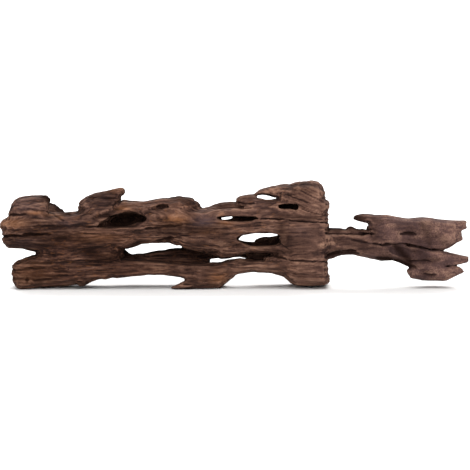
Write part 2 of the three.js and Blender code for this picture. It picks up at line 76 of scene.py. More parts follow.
class Tone(Enum):
    """A tint or finish of the wood, in part painted light, by the name of the attribute that says how
    strong it is.
    """

    OCHRE = "ochre"
    ASH = "ash"
    BLUSH = "blush"
    RUST = "rust"
    # Paler wood, and painted light where the lamps leave a place in shade
    PALE = "pale"
    SMOOTH = "smooth"


class Layer(Enum):
    """A layer of the relief: what it adds to the seed of its noise, and the detail of that noise."""

    BROAD = (0.0, 1.0)
    RIDGE = (3.0, 2.0)
    FURROW = (7.0, 1.0)
    FINE = (13.0, 1.0)
    FRAY = (19.0, 2.0)
    LEDGE = (23.0, 1.5)


class Step(Enum):
    """A step of a node tree: the node's type, its inputs in order, its output and its settings."""

    ADD = ("ShaderNodeMath", (0, 1), 0, {"operation": "ADD"})
    SUBTRACT = ("ShaderNodeMath", (0, 1), 0, {"operation": "SUBTRACT"})
    MULTIPLY = ("ShaderNodeMath", (0, 1), 0, {"operation": "MULTIPLY"})
    DIVIDE = ("ShaderNodeMath", (0, 1), 0, {"operation": "DIVIDE"})
    POWER = ("ShaderNodeMath", (0, 1), 0, {"operation": "POWER"})
    LARGER = ("ShaderNodeMath", (0, 1), 0, {"operation": "MAXIMUM"})
    SIZE = ("ShaderNodeMath", (0,), 0, {"operation": "ABSOLUTE"})
    WHOLE = ("ShaderNodeMath", (0,), 0, {"operation": "FLOOR"})
    REST = ("ShaderNodeMath", (0,), 0, {"operation": "FRACT"})
    MULTIPLY_ADD = ("ShaderNodeMath", (0, 1, 2), 0, {"operation": "MULTIPLY_ADD"})
    SHARE = ("ShaderNodeMath", (0, 1, 2), 0, {"operation": "MULTIPLY_ADD", "use_clamp": True})
    SPAN = ("ShaderNodeMapRange", (0, 1, 2), 0, {})
    SMOOTH_SPAN = ("ShaderNodeMapRange", (0, 1, 2), 0, {"interpolation_type": "SMOOTHSTEP"})
    JOIN = ("ShaderNodeCombineXYZ", (0, 1, 2), 0, {})
    MAP = ("ShaderNodeMapping", ("Vector", "Location", "Scale"), 0, {})
    MOVE = ("ShaderNodeVectorMath", (0, 1), 0, {"operation": "ADD"})
    AWAY = ("ShaderNodeVectorMath", (0, 1), 0, {"operation": "SUBTRACT"})
    COUNT = ("ShaderNodeVectorMath", (0, 1), 0, {"operation": "DIVIDE"})
    SCALE = ("ShaderNodeVectorMath", (0, "Scale"), 0, {"operation": "SCALE"})
    ALONG = ("ShaderNodeVectorMath", (0, 1), 1, {"operation": "DOT_PRODUCT"})
    NOISE = ("ShaderNodeTexNoise", ("Vector", "Scale", "Detail", "Roughness"), 0, {})
    SEEDED_NOISE = ("ShaderNodeTexNoise", ("Vector", "Scale", "Detail", "Roughness", "W"), 0,
                    {"noise_dimensions": "4D"})
    LAY = ("ShaderNodeMix", (0, 6, 7), 2, {"data_type": "RGBA"})
    TINT = ("ShaderNodeMix", (0, 6, 7), 2, {"data_type": "RGBA", "blend_type": "MULTIPLY"})
    BUMP = ("ShaderNodeBump", ("Strength", "Distance", "Height"), 0, {})


@dataclass(frozen=True)
class ShadeLine:
    """A line of painted shade along the grain; a crack is also cut into the wood, a soft band is not.

    Attributes:
        path: Points as (distance from the left tip, height above the ground), in millimetres.
        width: Its width in millimetres.
        dark: How dark its painted shade is, from 0 to 1.
        depth: How deep it is cut, in millimetres; a soft band of painted shade is not cut.
        side: The side of the root that it is on.
    """

    path: Path
    width: float
    dark: float = 1.0
    depth: float = 0.0
    side: Side = Side.NEAR

    TAPER = 1.4  # how much narrower a crack is at its ends
    TAPER_POWER = 5  # how late towards an end it narrows
    CUT_TURN = (-0.25, 0.15)  # how far the wood turns to its side where a cut starts, and is whole
    CUT_DEPTH = (-2.0, 2.0)  # the same for how far it is to that side, in millimetres
    STAIN_TURN = (-0.5, -0.1)  # a band of painted shade reaches a little further round than a cut

    def distance(self, x: Array, height: Array) -> Array:
        """How far points are from the path, a little more towards its ends.

        Args:
            x: Distances from the left tip, in millimetres.
            height: Seen heights, in millimetres.

        Returns:
            Distances in millimetres.
        """
        nearest = np.full(len(x), np.inf)
        total = sum(math.dist(a, b) for a, b in zip(self.path, self.path[1:]))
        run = 0.0
        for (x0, h0), (x1, h1) in zip(self.path, self.path[1:]):
            length = math.dist((x0, h0), (x1, h1))
            share = ((x - x0) * (x1 - x0) + (height - h0) * (h1 - h0)) / length**2
            share = np.clip(share, 0.0, 1.0)
            away = np.hypot(x - x0 - share * (x1 - x0), height - h0 - share * (h1 - h0))
            along = (run + share * length) / total
            away = away * (1.0 + self.TAPER * np.abs(2.0 * along - 1.0) ** self.TAPER_POWER)
            nearest = np.minimum(nearest, away)
            run += length
        return nearest

    def shows(self, facing: Array, depth: Array) -> Array:
        """How far points are on the crack's side of the root.

        Args:
            facing: How far the surface turns to the far side, from -1 to 1.
            depth: Distances behind the middle plane, in millimetres.

        Returns:
            Shares from 0 to 1.
        """
        facing, depth = facing * self.side.value, depth * self.side.value
        if self.depth:
            return smooth_step(facing, *self.CUT_TURN) * smooth_step(depth, *self.CUT_DEPTH)
        return smooth_step(facing, *self.STAIN_TURN)


@dataclass(frozen=True)
class Spot:
    """An oval place on the root, in millimetres.

    Attributes:
        x: The distance of its middle from the left tip.
        height: The height of its middle above the ground.
        along: Its radius along the grain.
        across: Its radius across the grain.
    """

    x: float
    height: float
    along: float
    across: float

    def reach(self, x: Array, height: Array) -> Array:
        """The square of how far points are from its middle, where 1 is its edge."""
        return ((x - self.x) / self.along) ** 2 + ((height - self.height) / self.across) ** 2


@dataclass(frozen=True)
class Swell(Spot):
    """A small place that stands out by its rise in millimetres, or sinks where that is negative."""

    rise: float


@dataclass(frozen=True)
class Lens(Spot):
    """A window or hollow that the grain flows round; an open one keeps its edge."""

    open: bool = True


@dataclass(frozen=True)
class Patch(Spot):
    """A soft-edged area of one tone, and how strong it is."""

    strength: float


@dataclass(frozen=True)
class Pattern:
    """A pattern of the wood, as noise in cells of a real size.

    Attributes:
        space: The coordinates that it follows.
        length: The length of a cell in millimetres.
        width: Its width in millimetres.
        detail: How many finer layers the noise has.
        roughness: How much of each finer layer it keeps.
    """

    space: str
    length: float
    width: float
    detail: float
    roughness: float = NOISE_ROUGHNESS


# A crack's row gives its path, width, the darkness of its painted shade, depth and, on the far side,
# that side
CRACKS = {
    "left_end": ShadeLine(((2, 51.2), (19, 51.8), (35, 52.6), (48, 53.4)), 2.6, 1, 4),
    "left_end_pit": ShadeLine(((38, 52.6), (45, 53), (51, 53.2)), 3.4, 1, 2),
    "under_crest": ShadeLine(((7, 72.5), (19, 72.6), (26, 73.2)), 2.2, 0.85, 2),
    "shelf_line": ShadeLine(((28, 78), (42, 76.5), (54, 73.5), (64, 66.5)), 1.8, 0.6, 0.8),
    "left_lower": ShadeLine(((5, 47.5), (29, 46.5), (52, 46)), 1.6, 0.45, 0.8),
    "mouth_tail": ShadeLine(((34, 60.5), (62, 61), (84, 61), (101, 60.5)), 3.2, 0.72, 1.5),
    "brow": ShadeLine(((145, 58.5), (159, 60), (171, 61), (182, 61.8)), 2, 0.8, 2),
    "lid": ShadeLine(((154, 46.8), (163, 47.6), (174, 48.8)), 2.6, 1, 1.6),
    "lid_tail": ShadeLine(((177, 51), (189, 51.5)), 1, 0.6, 1),
    "cheek_middle": ShadeLine(((86, 26.5), (98, 26), (110, 26)), 4, 0.6, 0.6),
    "cheek_line": ShadeLine(((35, 34), (59, 32.5), (82, 34)), 1.4, 0.4, 0.6),
    "foot_upper": ShadeLine(((14, 17.5), (27, 18), (47, 19.5)), 2, 0.8, 1.4),
    "foot_middle": ShadeLine(((47, 20), (59, 18.8), (69, 18.4)), 1.2, 0.5, 0.8),
    "foot_bar": ShadeLine(((33, 6.6), (41, 6.8), (51, 7.8)), 3.4, 1, 1.2),
    "foot_low": ShadeLine(((56, 12.5), (70, 12.5)), 1.2, 0.5, 0.8),
    "crown_first": ShadeLine(((284, 93), (296, 88.5), (309, 84)), 1.1, 0.5, 0.8),
    "crown_second": ShadeLine(((298, 97), (312, 90), (323, 85)), 0.9, 0.3, 0.7),
    "crown_third": ShadeLine(((299, 79), (310, 75), (322, 71.5)), 0.9, 0.35, 0.8),
    "upper_split": ShadeLine(((257, 68.7), (274, 68.2), (287, 67.2), (299, 66),
        (328, 64.4)), 1.1, 1, 2.6),
    "lower_split": ShadeLine(((286, 27), (300, 26.4), (328, 25.5)), 1.1, 0.9, 2.2),
    "ledge_line": ShadeLine(((206, 78.6), (228, 78), (250, 79.2)), 1.2, 0.7, 1),
    "knuckle_under": ShadeLine(((236, 85), (244, 83.8), (253, 84.2)), 2.4, 1, 2),
    "web_line": ShadeLine(((262, 31.5), (275, 31.5), (285, 28)), 2.6, 0.8, 1.5),
    "eye_corner": ShadeLine(((278, 45), (283, 41), (288, 37.5)), 1.4, 0.5, 0.8),
    "neck_top": ShadeLine(((324, 54), (340, 54.4), (357, 53.8), (372, 53)), 2.4, 0.95, 3),
    "neck_under": ShadeLine(((327, 31.5), (334, 34), (342, 35.6), (354, 36)), 4.4, 1, 2.6),
    "neck_under_low": ShadeLine(((324, 30), (334, 32.6), (346, 33.8), (357, 34)), 4.4, 1, 1.2),
    "neck_split": ShadeLine(((350, 47.6), (360, 45.8), (369, 43.6)), 1.8, 0.8, 2),
    "prong_split": ShadeLine(((362, 45), (381, 42.2), (392, 42.8), (400, 43.6), (408, 41.8),
        (428, 38), (445, 36.5)), 1.7, 1, 2.4),
    "prong_slit": ShadeLine(((398.5, 53.2), (407, 53.6), (414, 53)), 3.6, 1, 3),
    "slit_edge": ShadeLine(((400, 54.4), (407, 55), (413, 54.3)), 1.6, 1, 3),
    "toe_split": ShadeLine(((443, 21), (452, 21.6), (462, 22)), 0.9, 1, 2),
    "prong_pit": ShadeLine(((408, 25.6), (417, 27), (428, 25.8)), 4, 1, 1.8),
    "toe_pit": ShadeLine(((422, 13), (429, 11.2), (434, 12.2)), 4, 0.85, 1.6),
    "foot_pit": ShadeLine(((25.5, 7), (28.5, 6.8)), 3.4, 1, 1.6),
    "far_upper": ShadeLine(((20, 50), (52, 47), (90, 46)), 1.8, 1, 3, Side.FAR),
    "far_middle": ShadeLine(((110, 70), (150, 67), (184, 61)), 1.6, 0.9, 2.5, Side.FAR),
    "far_right": ShadeLine(((232, 64), (270, 66), (318, 61)), 1.8, 1, 3, Side.FAR),
    "far_heel": ShadeLine(((288, 24), (326, 26)), 1.5, 0.9, 3, Side.FAR),
    "far_prong": ShadeLine(((380, 52), (410, 48), (452, 50)), 1.6, 0.9, 2.5, Side.FAR),
    "far_rail": ShadeLine(((30, 18), (66, 20), (110, 19)), 1.4, 0.8, 2, Side.FAR),
}

# Soft bands of painted shade: path, width and darkness
PAINTED_SHADE_BANDS = {
    "cheek_top": ShadeLine(((44, 42), (74, 41), (98, 40), (122, 40)), 4.5, 0.35),
    "window_corner": ShadeLine(((119, 37), (126, 34), (136, 33)), 7, 0.8),
    "mouth_lip": ShadeLine(((97, 61), (112, 61.5), (123, 62.5), (133, 64), (144, 67)), 7.5, 0.5),
    "mouth_upper_left": ShadeLine(((93, 69), (101, 70), (111, 72.5)), 6, 0.55),
    "mouth_below": ShadeLine(((108, 59), (122, 59), (136, 60)), 4, 0.35),
    "web_face": ShadeLine(((242, 42), (258, 40.5), (274, 39.5)), 3.4, 0.5),
    "log_under": ShadeLine(((212, 47), (238, 43)), 6, 0.4),
    "hook_shade": ShadeLine(((366, 65), (381, 66)), 6, 0.45),
    "prong_left_band": ShadeLine(((371, 60), (375, 41)), 10, 0.5),
    "prong_right_shade": ShadeLine(((426, 54), (438, 49), (446, 43)), 10, 0.5),
    "upper_low": ShadeLine(((395, 49), (430, 45)), 6, 0.25),
    "rail_top": ShadeLine(((127, 30), (150, 25.5), (180, 23), (212, 22)), 7, 0.5),
    "hump_end": ShadeLine(((168, 91), (188, 87), (200, 79)), 6.5, 0.65),
    "ledge": ShadeLine(((212, 81), (228, 82.5), (247, 81.5)), 4.6, 0.6),
    "knuckle": ShadeLine(((238, 88), (253, 89.5)), 6, 0.5),
    "crown_rim": ShadeLine(((293, 101.5), (305, 103), (317, 102)), 3.8, 0.55),
    "eye_inside": ShadeLine(((262, 45), (272, 47), (280, 50)), 7, 0.6),
    "eye_right": ShadeLine(((280, 62), (284, 46)), 9, 0.65),
    "log_edge": ShadeLine(((196, 20), (210, 18.5), (226, 17)), 8, 0.4),
    "log_end": ShadeLine(((206, 52), (222, 47), (240, 43)), 8, 0.35),
    "prong_face": ShadeLine(((408, 60), (424, 50)), 10, 0.5),
    "knot": ShadeLine(((152, 80.5), (167, 80.5)), 6.5, 0.55),
    "hook_tip": ShadeLine(((350, 70), (364, 69)), 7, 0.85),
    "hook_root": ShadeLine(((366, 70), (375, 67), (373, 58)), 4, 0.35),
    "under_split": ShadeLine(((387, 39), (400, 38), (420, 35)), 9, 0.6),
    "prong_hollow": ShadeLine(((402, 33), (428, 31)), 8, 0.45),
    "prong_belly": ShadeLine(((376, 29), (388, 28), (398, 26), (414, 20)), 9, 1),
    "prong_band": ShadeLine(((420, 63), (424, 56), (428, 44)), 14, 0.68),
    "back_crest": ShadeLine(((43, 90), (55, 82), (70, 73)), 11, 1),
    "heel_drip": ShadeLine(((75, 3.5), (89, 4)), 4.5, 0.75),
    "belly_drip": ShadeLine(((111, 14), (125, 14.5)), 3, 0.6),
    "log_left": ShadeLine(((2, 45), (30, 44), (60, 44)), 9, 0.72),
    "crest_face": ShadeLine(((88, 86), (104, 88), (120, 90)), 14, 0.6),
    "log_middle": ShadeLine(((148, 58), (180, 57.5), (216, 58)), 14, 0.72),
    "arch_root": ShadeLine(((248, 94.2), (256, 92.4), (261, 95.5)), 1.6, 0.7),
    "above_split": ShadeLine(((272, 70.5), (322, 68.5)), 6, 0.55),
    "foot_face": ShadeLine(((14, 9), (56, 9)), 12, 0.6),
    "cheek_shadow": ShadeLine(((84, 36), (102, 30), (118, 33)), 17, 0.8),
    "log_low": ShadeLine(((2, 50), (30, 50), (64, 49), (104, 46)), 9, 0.66),
    "log_upper": ShadeLine(((14, 57), (50, 58), (96, 57)), 6, 0.45),
    "shelf_shade": ShadeLine(((8, 62.5), (32, 64.5), (58, 66)), 5, 0.4),
    "neck_crest": ShadeLine(((324, 57.5), (345, 58.5), (370, 57.5)), 6, 1),
    "neck_shade": ShadeLine(((325, 33), (338, 35.5), (352, 35.5)), 8, 0.8),
    "lid_shade": ShadeLine(((152, 46.8), (164, 47.8), (180, 49.8)), 2.6, 1),
    "window_shade": ShadeLine(((152, 40.5), (165, 38), (178, 35), (204, 31.5)), 6, 0.6),
    "foot_bar_shade": ShadeLine(((33, 6.4), (41, 6.6), (50, 7.4)), 5, 0.95),
    "web_low": ShadeLine(((236, 24.5), (248, 25), (262, 28.5)), 4.4, 0.75),
    "hollow_heart": ShadeLine(((393, 42), (400, 35), (409, 24)), 13, 1),
    "foot_shade": ShadeLine(((12, 14), (64, 16)), 22, 0.32),
    "prong_shade": ShadeLine(((395, 60), (425, 50)), 22, 0.35),
    "lower_prong_shade": ShadeLine(((388, 36), (425, 28)), 16, 0.35),
    "toe_shade": ShadeLine(((420, 17), (428, 12)), 10, 0.55),
    "slit_shade": ShadeLine(((400, 58), (412, 54)), 9, 0.35),
    "crown_edge": ShadeLine(((323, 92), (320, 80), (322, 70)), 6, 0.25),
    "rail_front": ShadeLine(((122, 23), (150, 20.5), (200, 19)), 7, 0.45),
    "log_right": ShadeLine(((198, 62), (226, 60)), 9, 0.5),
    "neck_face": ShadeLine(((332, 48), (350, 45), (372, 37)), 13, 0.5),
    "prong_start": ShadeLine(((366, 42), (390, 34)), 11, 0.45),
    "crown_top": ShadeLine(((288, 98), (316, 100)), 11, 0.35),
    "toe_top": ShadeLine(((400, 24), (436, 28)), 10, 0.65),
    "hump_right": ShadeLine(((180, 85), (197, 82)), 5, 0.35),
}

# Middle, two radii and rise
SWELLS = {
    "hook_tip": Swell(355, 69, 6, 3.5, 1.1), "left_corner": Swell(5, 45, 5, 4, 2),
    "hump_end": Swell(198, 83, 5, 4, 1.5), "neck_nub": Swell(350, 57.5, 4, 2.5, 2),
    "neck_ridge": Swell(346, 58, 18, 2.2, 0.8), "neck_nub_right": Swell(362, 56.5, 3, 2.5, 0.8),
    "belly_nub": Swell(104, 10, 4, 2.5, 1.1), "belly_nub_right": Swell(117, 12, 3, 2.5, 0.9),
    "back_crest_first": Swell(49, 87.5, 1.3, 2, 1.4),
    "back_crest_second": Swell(53, 85, 1.3, 2, 1.7), "back_crest_third": Swell(57, 82, 1.3, 2, 1.5),
    "back_crest_fourth": Swell(61, 79, 1.3, 2, 1.2), "eye_end": Swell(282.5, 49, 3.5, 6, 4),
    "knuckle": Swell(245, 88.5, 10, 4.5, 0.9), "knuckle_foot": Swell(245, 79.5, 7, 2.5, 1.8),
    "ledge": Swell(228, 82, 18, 2.6, 0.8), "crest_shelf": Swell(34, 76, 18, 2.4, 1),
    "mouth_left_end": Swell(96.5, 61.5, 3, 2.5, 2), "mouth_right": Swell(141.5, 69, 4, 4, -1.9),
    "crest_fillet": Swell(122, 86.5, 4.5, 3, 1.6), "mouth_brow": Swell(109, 71.5, 9, 2.5, -3),
    "mouth_brow_middle": Swell(125, 74.5, 8, 2, -1.6),
    "mouth_brow_right": Swell(136, 74, 6, 2.5, -1.7), "mouth_floor": Swell(128, 61, 12, 2, -1.5),
    "block_corner": Swell(47, 90, 4, 3, 1.8), "crown_slot_left": Swell(281.5, 80.5, 3.5, 2.4, -2.6),
    "crown_slot_top": Swell(288, 82.5, 7, 1.6, -0.8), "hook_under": Swell(366, 64, 3, 2.2, -1.6),
    "arch_left": Swell(257, 90.5, 3, 2, -1.2), "arch_top": Swell(261, 92.6, 5, 1.6, -1.1),
    "arch_floor": Swell(270, 88, 6, 1.2, -0.8),
    "crown_slot_right": Swell(294.5, 80, 2.5, 2.4, -1.6),
    "low_slot_top": Swell(214, 34.5, 5, 1.6, -1.5), "low_slot_floor": Swell(217, 26.5, 5, 2, -1.6),
    "eye_tip": Swell(239, 48.6, 2.4, 1.2, -3.6), "window_corner": Swell(131, 35.5, 5, 2.5, -2.2),
    "web_top": Swell(259, 38, 13, 2.6, 1.6), "block_end": Swell(47, 86, 3, 2.5, 2.2),
    "hump_back": Swell(191, 88.5, 7, 3, 1.5), "neck_root": Swell(330, 46, 6, 8, 2.6),
    "window_tip": Swell(179, 41.2, 3, 1.5, -1.5), "window_top_left": Swell(143, 44, 9, 1.8, -1.3),
}

# Places whose edges are worn round: middle and two radii
WEARS = {
    "mouth_lip": Spot(121, 62, 24, 4.5), "mouth_left": Spot(103, 64, 6, 5),
    "mouth_top": Spot(132, 73, 13, 3.5), "eye_jaw": Spot(272, 43, 14, 3),
    "neck_root": Spot(327, 46, 5, 9),
}

# Middle and two radii
LENSES = {
    "eye": Lens(259, 48, 26, 8), "slot": Lens(237, 68.5, 20, 3.5), "arch": Lens(267, 90.3, 12, 3.5),
    "long_window": Lens(150, 40, 34, 8), "low_slot": Lens(228, 28.5, 20, 5),
    "dark_mouth": Lens(120, 67, 25, 8), "crown_slot": Lens(287, 80.5, 10, 3),
    "knot": Lens(159, 80.5, 9, 4.5, open=False), "prong_hollow": Lens(401, 35, 15, 8, open=False),
    "left_notch": Lens(14, 36, 26, 6),
}

# Middle, two radii and strength
PATCHES = {
    Tone.OCHRE: (
        Patch(12, 64, 14, 4, 0.9), Patch(36, 74.5, 8, 1.8, 0.9), Patch(50, 72.5, 7, 1.5, 0.6),
        Patch(61, 70, 4, 2, 1), Patch(124, 78, 8, 3.5, 0.8), Patch(175, 67.5, 14, 5, 0.9),
        Patch(208, 56, 12, 4, 0.5), Patch(224, 64.5, 9, 3, 0.6), Patch(217, 10, 9, 7, 0.9),
        Patch(112, 97, 15, 3, 0.5), Patch(95, 50, 30, 6, 0.4), Patch(30, 14, 24, 12, 0.4),
        Patch(256, 93, 5, 2, 0.5),
    ),
    # Paler wood, and painted light that lifts places the lamps leave in shade, such as inside the
    # mouth and the slot and at the neck's root
    Tone.PALE: (
        Patch(50, 73, 12, 1.8, 0.9), Patch(10, 66, 18, 7, 1), Patch(34, 75, 12, 2.4, 0.9),
        Patch(389, 57, 8, 12, 0.9), Patch(316, 94, 8, 6, 0.5), Patch(305, 10, 24, 11, 0.5),
        Patch(262, 34, 24, 2.5, 0.4), Patch(268, 16, 22, 3, 0.8), Patch(160, 46, 20, 3, 0.8),
        Patch(455, 60, 14, 6, 0.8), Patch(104, 65, 6, 4, 1), Patch(182, 76.5, 20, 5, 1),
        Patch(453, 57, 16, 13, 1.2), Patch(446, 12, 14, 8, 1), Patch(230, 8, 16, 12, 0.4),
        Patch(105, 15, 14, 7, 0.45), Patch(300, 4, 26, 6, 0.8), Patch(60, 2, 50, 6, 0.8),
        Patch(42, 80, 10, 6, 1), Patch(236, 69, 6, 4, 1.2), Patch(170, 27.5, 40, 3, 0.6),
        Patch(258, 92, 6, 3, 0.9), Patch(294, 76, 18, 4, 0.8), Patch(314, 84, 9, 7, 0.7),
        Patch(432, 64, 14, 4, 0.8), Patch(447, 41, 8, 4, 0.7), Patch(362, 33, 8, 4, 0.7),
        Patch(238, 77, 20, 2.5, 0.8), Patch(22, 88, 18, 8, 0.55), Patch(162, 19, 22, 6, 1),
        Patch(244, 34, 8, 2.5, 1), Patch(189, 75.5, 8, 3.5, 1), Patch(243, 30, 5, 2.5, 1.2),
        Patch(268, 65, 8, 3, 0.6), Patch(43, 88, 5, 3, 1), Patch(329, 47, 5, 8, 0.9),
        Patch(445, 42, 8, 3.5, 0.7),
    ),
    Tone.SMOOTH: (
        Patch(308, 84, 28, 26, 0.9), Patch(305, 40, 34, 44, 1), Patch(122, 67, 22, 8, 0.95),
        Patch(150, 16, 40, 8, 0.8), Patch(205, 14, 40, 12, 0.8), Patch(205, 64, 16, 9, 0.4),
        Patch(60, 68, 14, 5, 0.5), Patch(174, 87, 26, 7, 0.8), Patch(212, 50, 30, 12, 0.6),
        Patch(235, 78, 24, 6, 0.5),
    ),
    Tone.ASH: (
        Patch(202, 66, 13, 7, 1.2), Patch(28, 84, 22, 9, 0.6), Patch(100, 88, 20, 8, 0.6),
        Patch(24, 44, 20, 5, 0.7), Patch(70, 64, 14, 6, 0.5), Patch(300, 60, 12, 10, 0.4),
        Patch(400, 36, 10, 8, 0.8),
    ),
    Tone.BLUSH: (
        Patch(255, 85, 30, 15, 0.3), Patch(400, 34, 12, 8, 1),
    ),
    Tone.RUST: (
        Patch(60, 38, 36, 13, 0.9), Patch(110, 30, 40, 16, 0.9), Patch(130, 14, 50, 11, 1),
        Patch(60, 12, 40, 12, 0.7), Patch(180, 30, 40, 8, 0.7), Patch(185, 85, 26, 8, 0.7),
    ),
}

PATTERNS = {
    "bands": Pattern("grain", 54, 4.6, 3),  # growth bands about 5 mm apart
    "fibre": Pattern("grain", 20, 1.3, 3, 0.65),  # real fibre is finer, and would not show
    "dashes": Pattern("grain_again", 14, 1.5, 2),  # short dark pores
    "flecks": Pattern("grain_again", 8, 1.6, 2),  # bits of bare heartwood
    "stains": Pattern("place", 30, 11, 3),  # damp stains a few centimetres long
    "mottle": Pattern("place", 13, 11, 3, 0.5),  # soft blotches of the bare right end
    "specks": Pattern("place", 2.4, 1.9, 2, 0.7),  # grit of 2 mm
    "dust": Pattern("place", 1.3, 1.1, 1),  # grit of 1 mm
}


def linear(hex_colour: str) -> tuple[float, float, float, float]:
    """Turns an sRGB hex colour to linear red, green, blue and alpha.

    Args:
        hex_colour: Six hex digits after a hash sign.

    Returns:
        The linear colour with an alpha of 1.
    """
    channels = [int(hex_colour[i : i + 2], 16) / 255 for i in (1, 3, 5)]
    bright = [c / 12.92 if c <= 0.04045 else ((c + 0.055) / 1.055) ** 2.4 for c in channels]
    return (*bright, 1.0)


def add_node(
    tree: NodeTree, kind: str, inputs: dict | None = None, **settings: object
) -> bpy.types.Node:
    """Adds a node with its settings, values and links.

    Args:
        tree: The shader or geometry tree that gets the node.
        kind: The node's type name in Blender.
        inputs: A value, or an output socket to link, for each input's name or place.
        **settings: The node's own properties.

    Returns:
        The new node.
    """
    node = tree.nodes.new(kind)
    for name, value in settings.items():
        setattr(node, name, value)
    for key, value in (inputs or {}).items():
        if isinstance(value, Socket):
            tree.links.new(value, node.inputs[key])
        else:
            node.inputs[key].default_value = value
    return node


def follow(tree: NodeTree, made: dict[str, Socket], rows: list[tuple]) -> None:
    """Adds a node for each row of a sheet, and keeps its result by name.

    Args:
        tree: The shader or geometry tree that gets the nodes.
        made: The results so far by name, which each new one joins.
        rows: The name of the result, the step, and each input as a value or a result's name.
    """
    for name, step, *values in rows:
        kind, places, output, settings = step.value
        inputs = {
            place: made[value] if isinstance(value, str) else value
            for place, value in zip(places, values)
        }
        made[name] = add_node(tree, kind, inputs, **settings).outputs[output]


def smooth_step(values: Array, low: float, high: float) -> Array:
    """Rises smoothly from 0 at low to 1 at high; falls where low is over high."""
    share = np.clip((values - low) / (high - low), 0.0, 1.0)
    return share * share * (3.0 - 2.0 * share)


def fetch(items: object, name: str, width: int, kind: type = np.float32) -> Array:
    """Reads one property of each of a mesh's items.

    Args:
        items: The mesh's vertices, edges, faces, corners or values.
        name: The property's name.
        width: How many numbers an item has.
        kind: The type of the numbers.

    Returns:
        One number for each item, or one row where the width is over 1.
    """
    values = np.zeros(len(items) * width, kind)
    items.foreach_get(name, values)
    return values.reshape(-1, width) if width > 1 else values


def place_object(name: str, data: bpy.types.ID) -> Body:
    """Puts a mesh, a light or a camera in the scene.

    Args:
        name: The new object's name.
        data: What it shows.

    Returns:
        The object, at the origin.
    """
    made = bpy.data.objects.new(name, data)
    bpy.context.scene.collection.objects.link(made)
    return made


def plain_mesh(body: Body) -> Mesh:
    """Makes a mesh of its own from a body as its modifiers leave it.

    Args:
        body: The object, with its modifiers.

    Returns:
        The new mesh.
    """
    bpy.context.view_layer.update()
    depsgraph = bpy.context.evaluated_depsgraph_get()
    return bpy.data.meshes.new_from_object(body.evaluated_get(depsgraph), depsgraph=depsgraph)


class Skin:
    """The vertices of a mesh as arrays, with the steps that round and mark them."""

    NORMALS_LAST = 4  # rounds that one set of outward directions serves
    WEAR_STEP = 0.6  # share of the way to its neighbours' mean that a worn vertex goes in a round
    RELAX_STEP = 0.5  # the same where the skin is relaxed
    REGROWTH = 1.04  # how much longer the step back out is, so that nothing shrinks

    def __init__(self, mesh: Mesh) -> None:
        """Reads a mesh's points and edges.

        Args:
            mesh: A closed mesh.
        """
        self.mesh = mesh
        self.points = self.read("position", 3)
        self.edges = fetch(mesh.edges, "vertices", 2, np.int32)
        count = np.bincount(self.edges.ravel(), minlength=len(mesh.vertices))
        self.neighbours = np.maximum(count, 1)

    def read(self, name: str, width: int) -> Array:
        """Reads a point attribute.

        Args:
            name: The attribute's name.
            width: 3 for vectors and 1 for numbers.

        Returns:
            One row of three, or one number, for each vertex.
        """
        data = self.mesh.attributes[name].data
        return fetch(data, "vector" if width == 3 else "value", width).astype(float)

    def write(self, name: str, values: Array) -> None:
        """Stores an array as a point attribute.

        Args:
            name: The attribute's name.
            values: One row of three, or one number, for each vertex.
        """
        kind, key = ("FLOAT_VECTOR", "vector") if values.ndim == 2 else ("FLOAT", "value")
        stored = self.mesh.attributes.get(name) or self.mesh.attributes.new(name, kind, "POINT")
        stored.data.foreach_set(key, values.astype(np.float32).ravel())

    def apply(self) -> None:
        """Moves the mesh's vertices to the array's points."""
        self.mesh.vertices.foreach_set("co", self.points.astype(np.float32).ravel())
        self.mesh.update()

    def normals(self) -> Array:
        """The outward direction at each vertex, as the array's points lie."""
        self.apply()
        return fetch(self.mesh.vertex_normals, "vector", 3).astype(float)

    def pull(self) -> Array:
        """Finds the way from each vertex to the mean of its neighbours.

        Returns:
            One row of three for each vertex, in metres.
        """
        a, b = self.edges.T
        total = np.zeros_like(self.points)
        for axis, column in enumerate(self.points.T):
            total[:, axis] = np.bincount(a, column[b], len(column))
            total[:, axis] += np.bincount(b, column[a], len(column))
        return total / self.neighbours[:, None] - self.points

    def fill_dips(self, rounds: int, weight: Array) -> None:
        """Raises the dips and leaves the ridges, as fibres bridge the joint of two strands.

        Args:
            rounds: How many times the dips are raised.
            weight: How much each vertex takes part, from 0 to 1.
        """
        for i in range(rounds):
            if i % self.NORMALS_LAST == 0:
                outward = self.normals()
            rise = np.clip((self.pull() * outward).sum(axis=1), 0.0, None) * weight
            self.points += outward * rise[:, None]

    def wear(self, rounds: int, weight: Array) -> None:
        """Rounds edges off where the weight, from 0 to 1, says so."""
        for _ in range(rounds):
            self.points += self.WEAR_STEP * weight[:, None] * self.pull()

    def relax(self, rounds: int) -> None:
        """Rounds small corners without shrinking the whole, by steps in and out.

        Args:
            rounds: How many steps in and out are taken.
        """
        for _ in range(rounds):
            self.points += self.RELAX_STEP * self.pull()
            self.points -= (self.RELAX_STEP * self.REGROWTH) * self.pull()


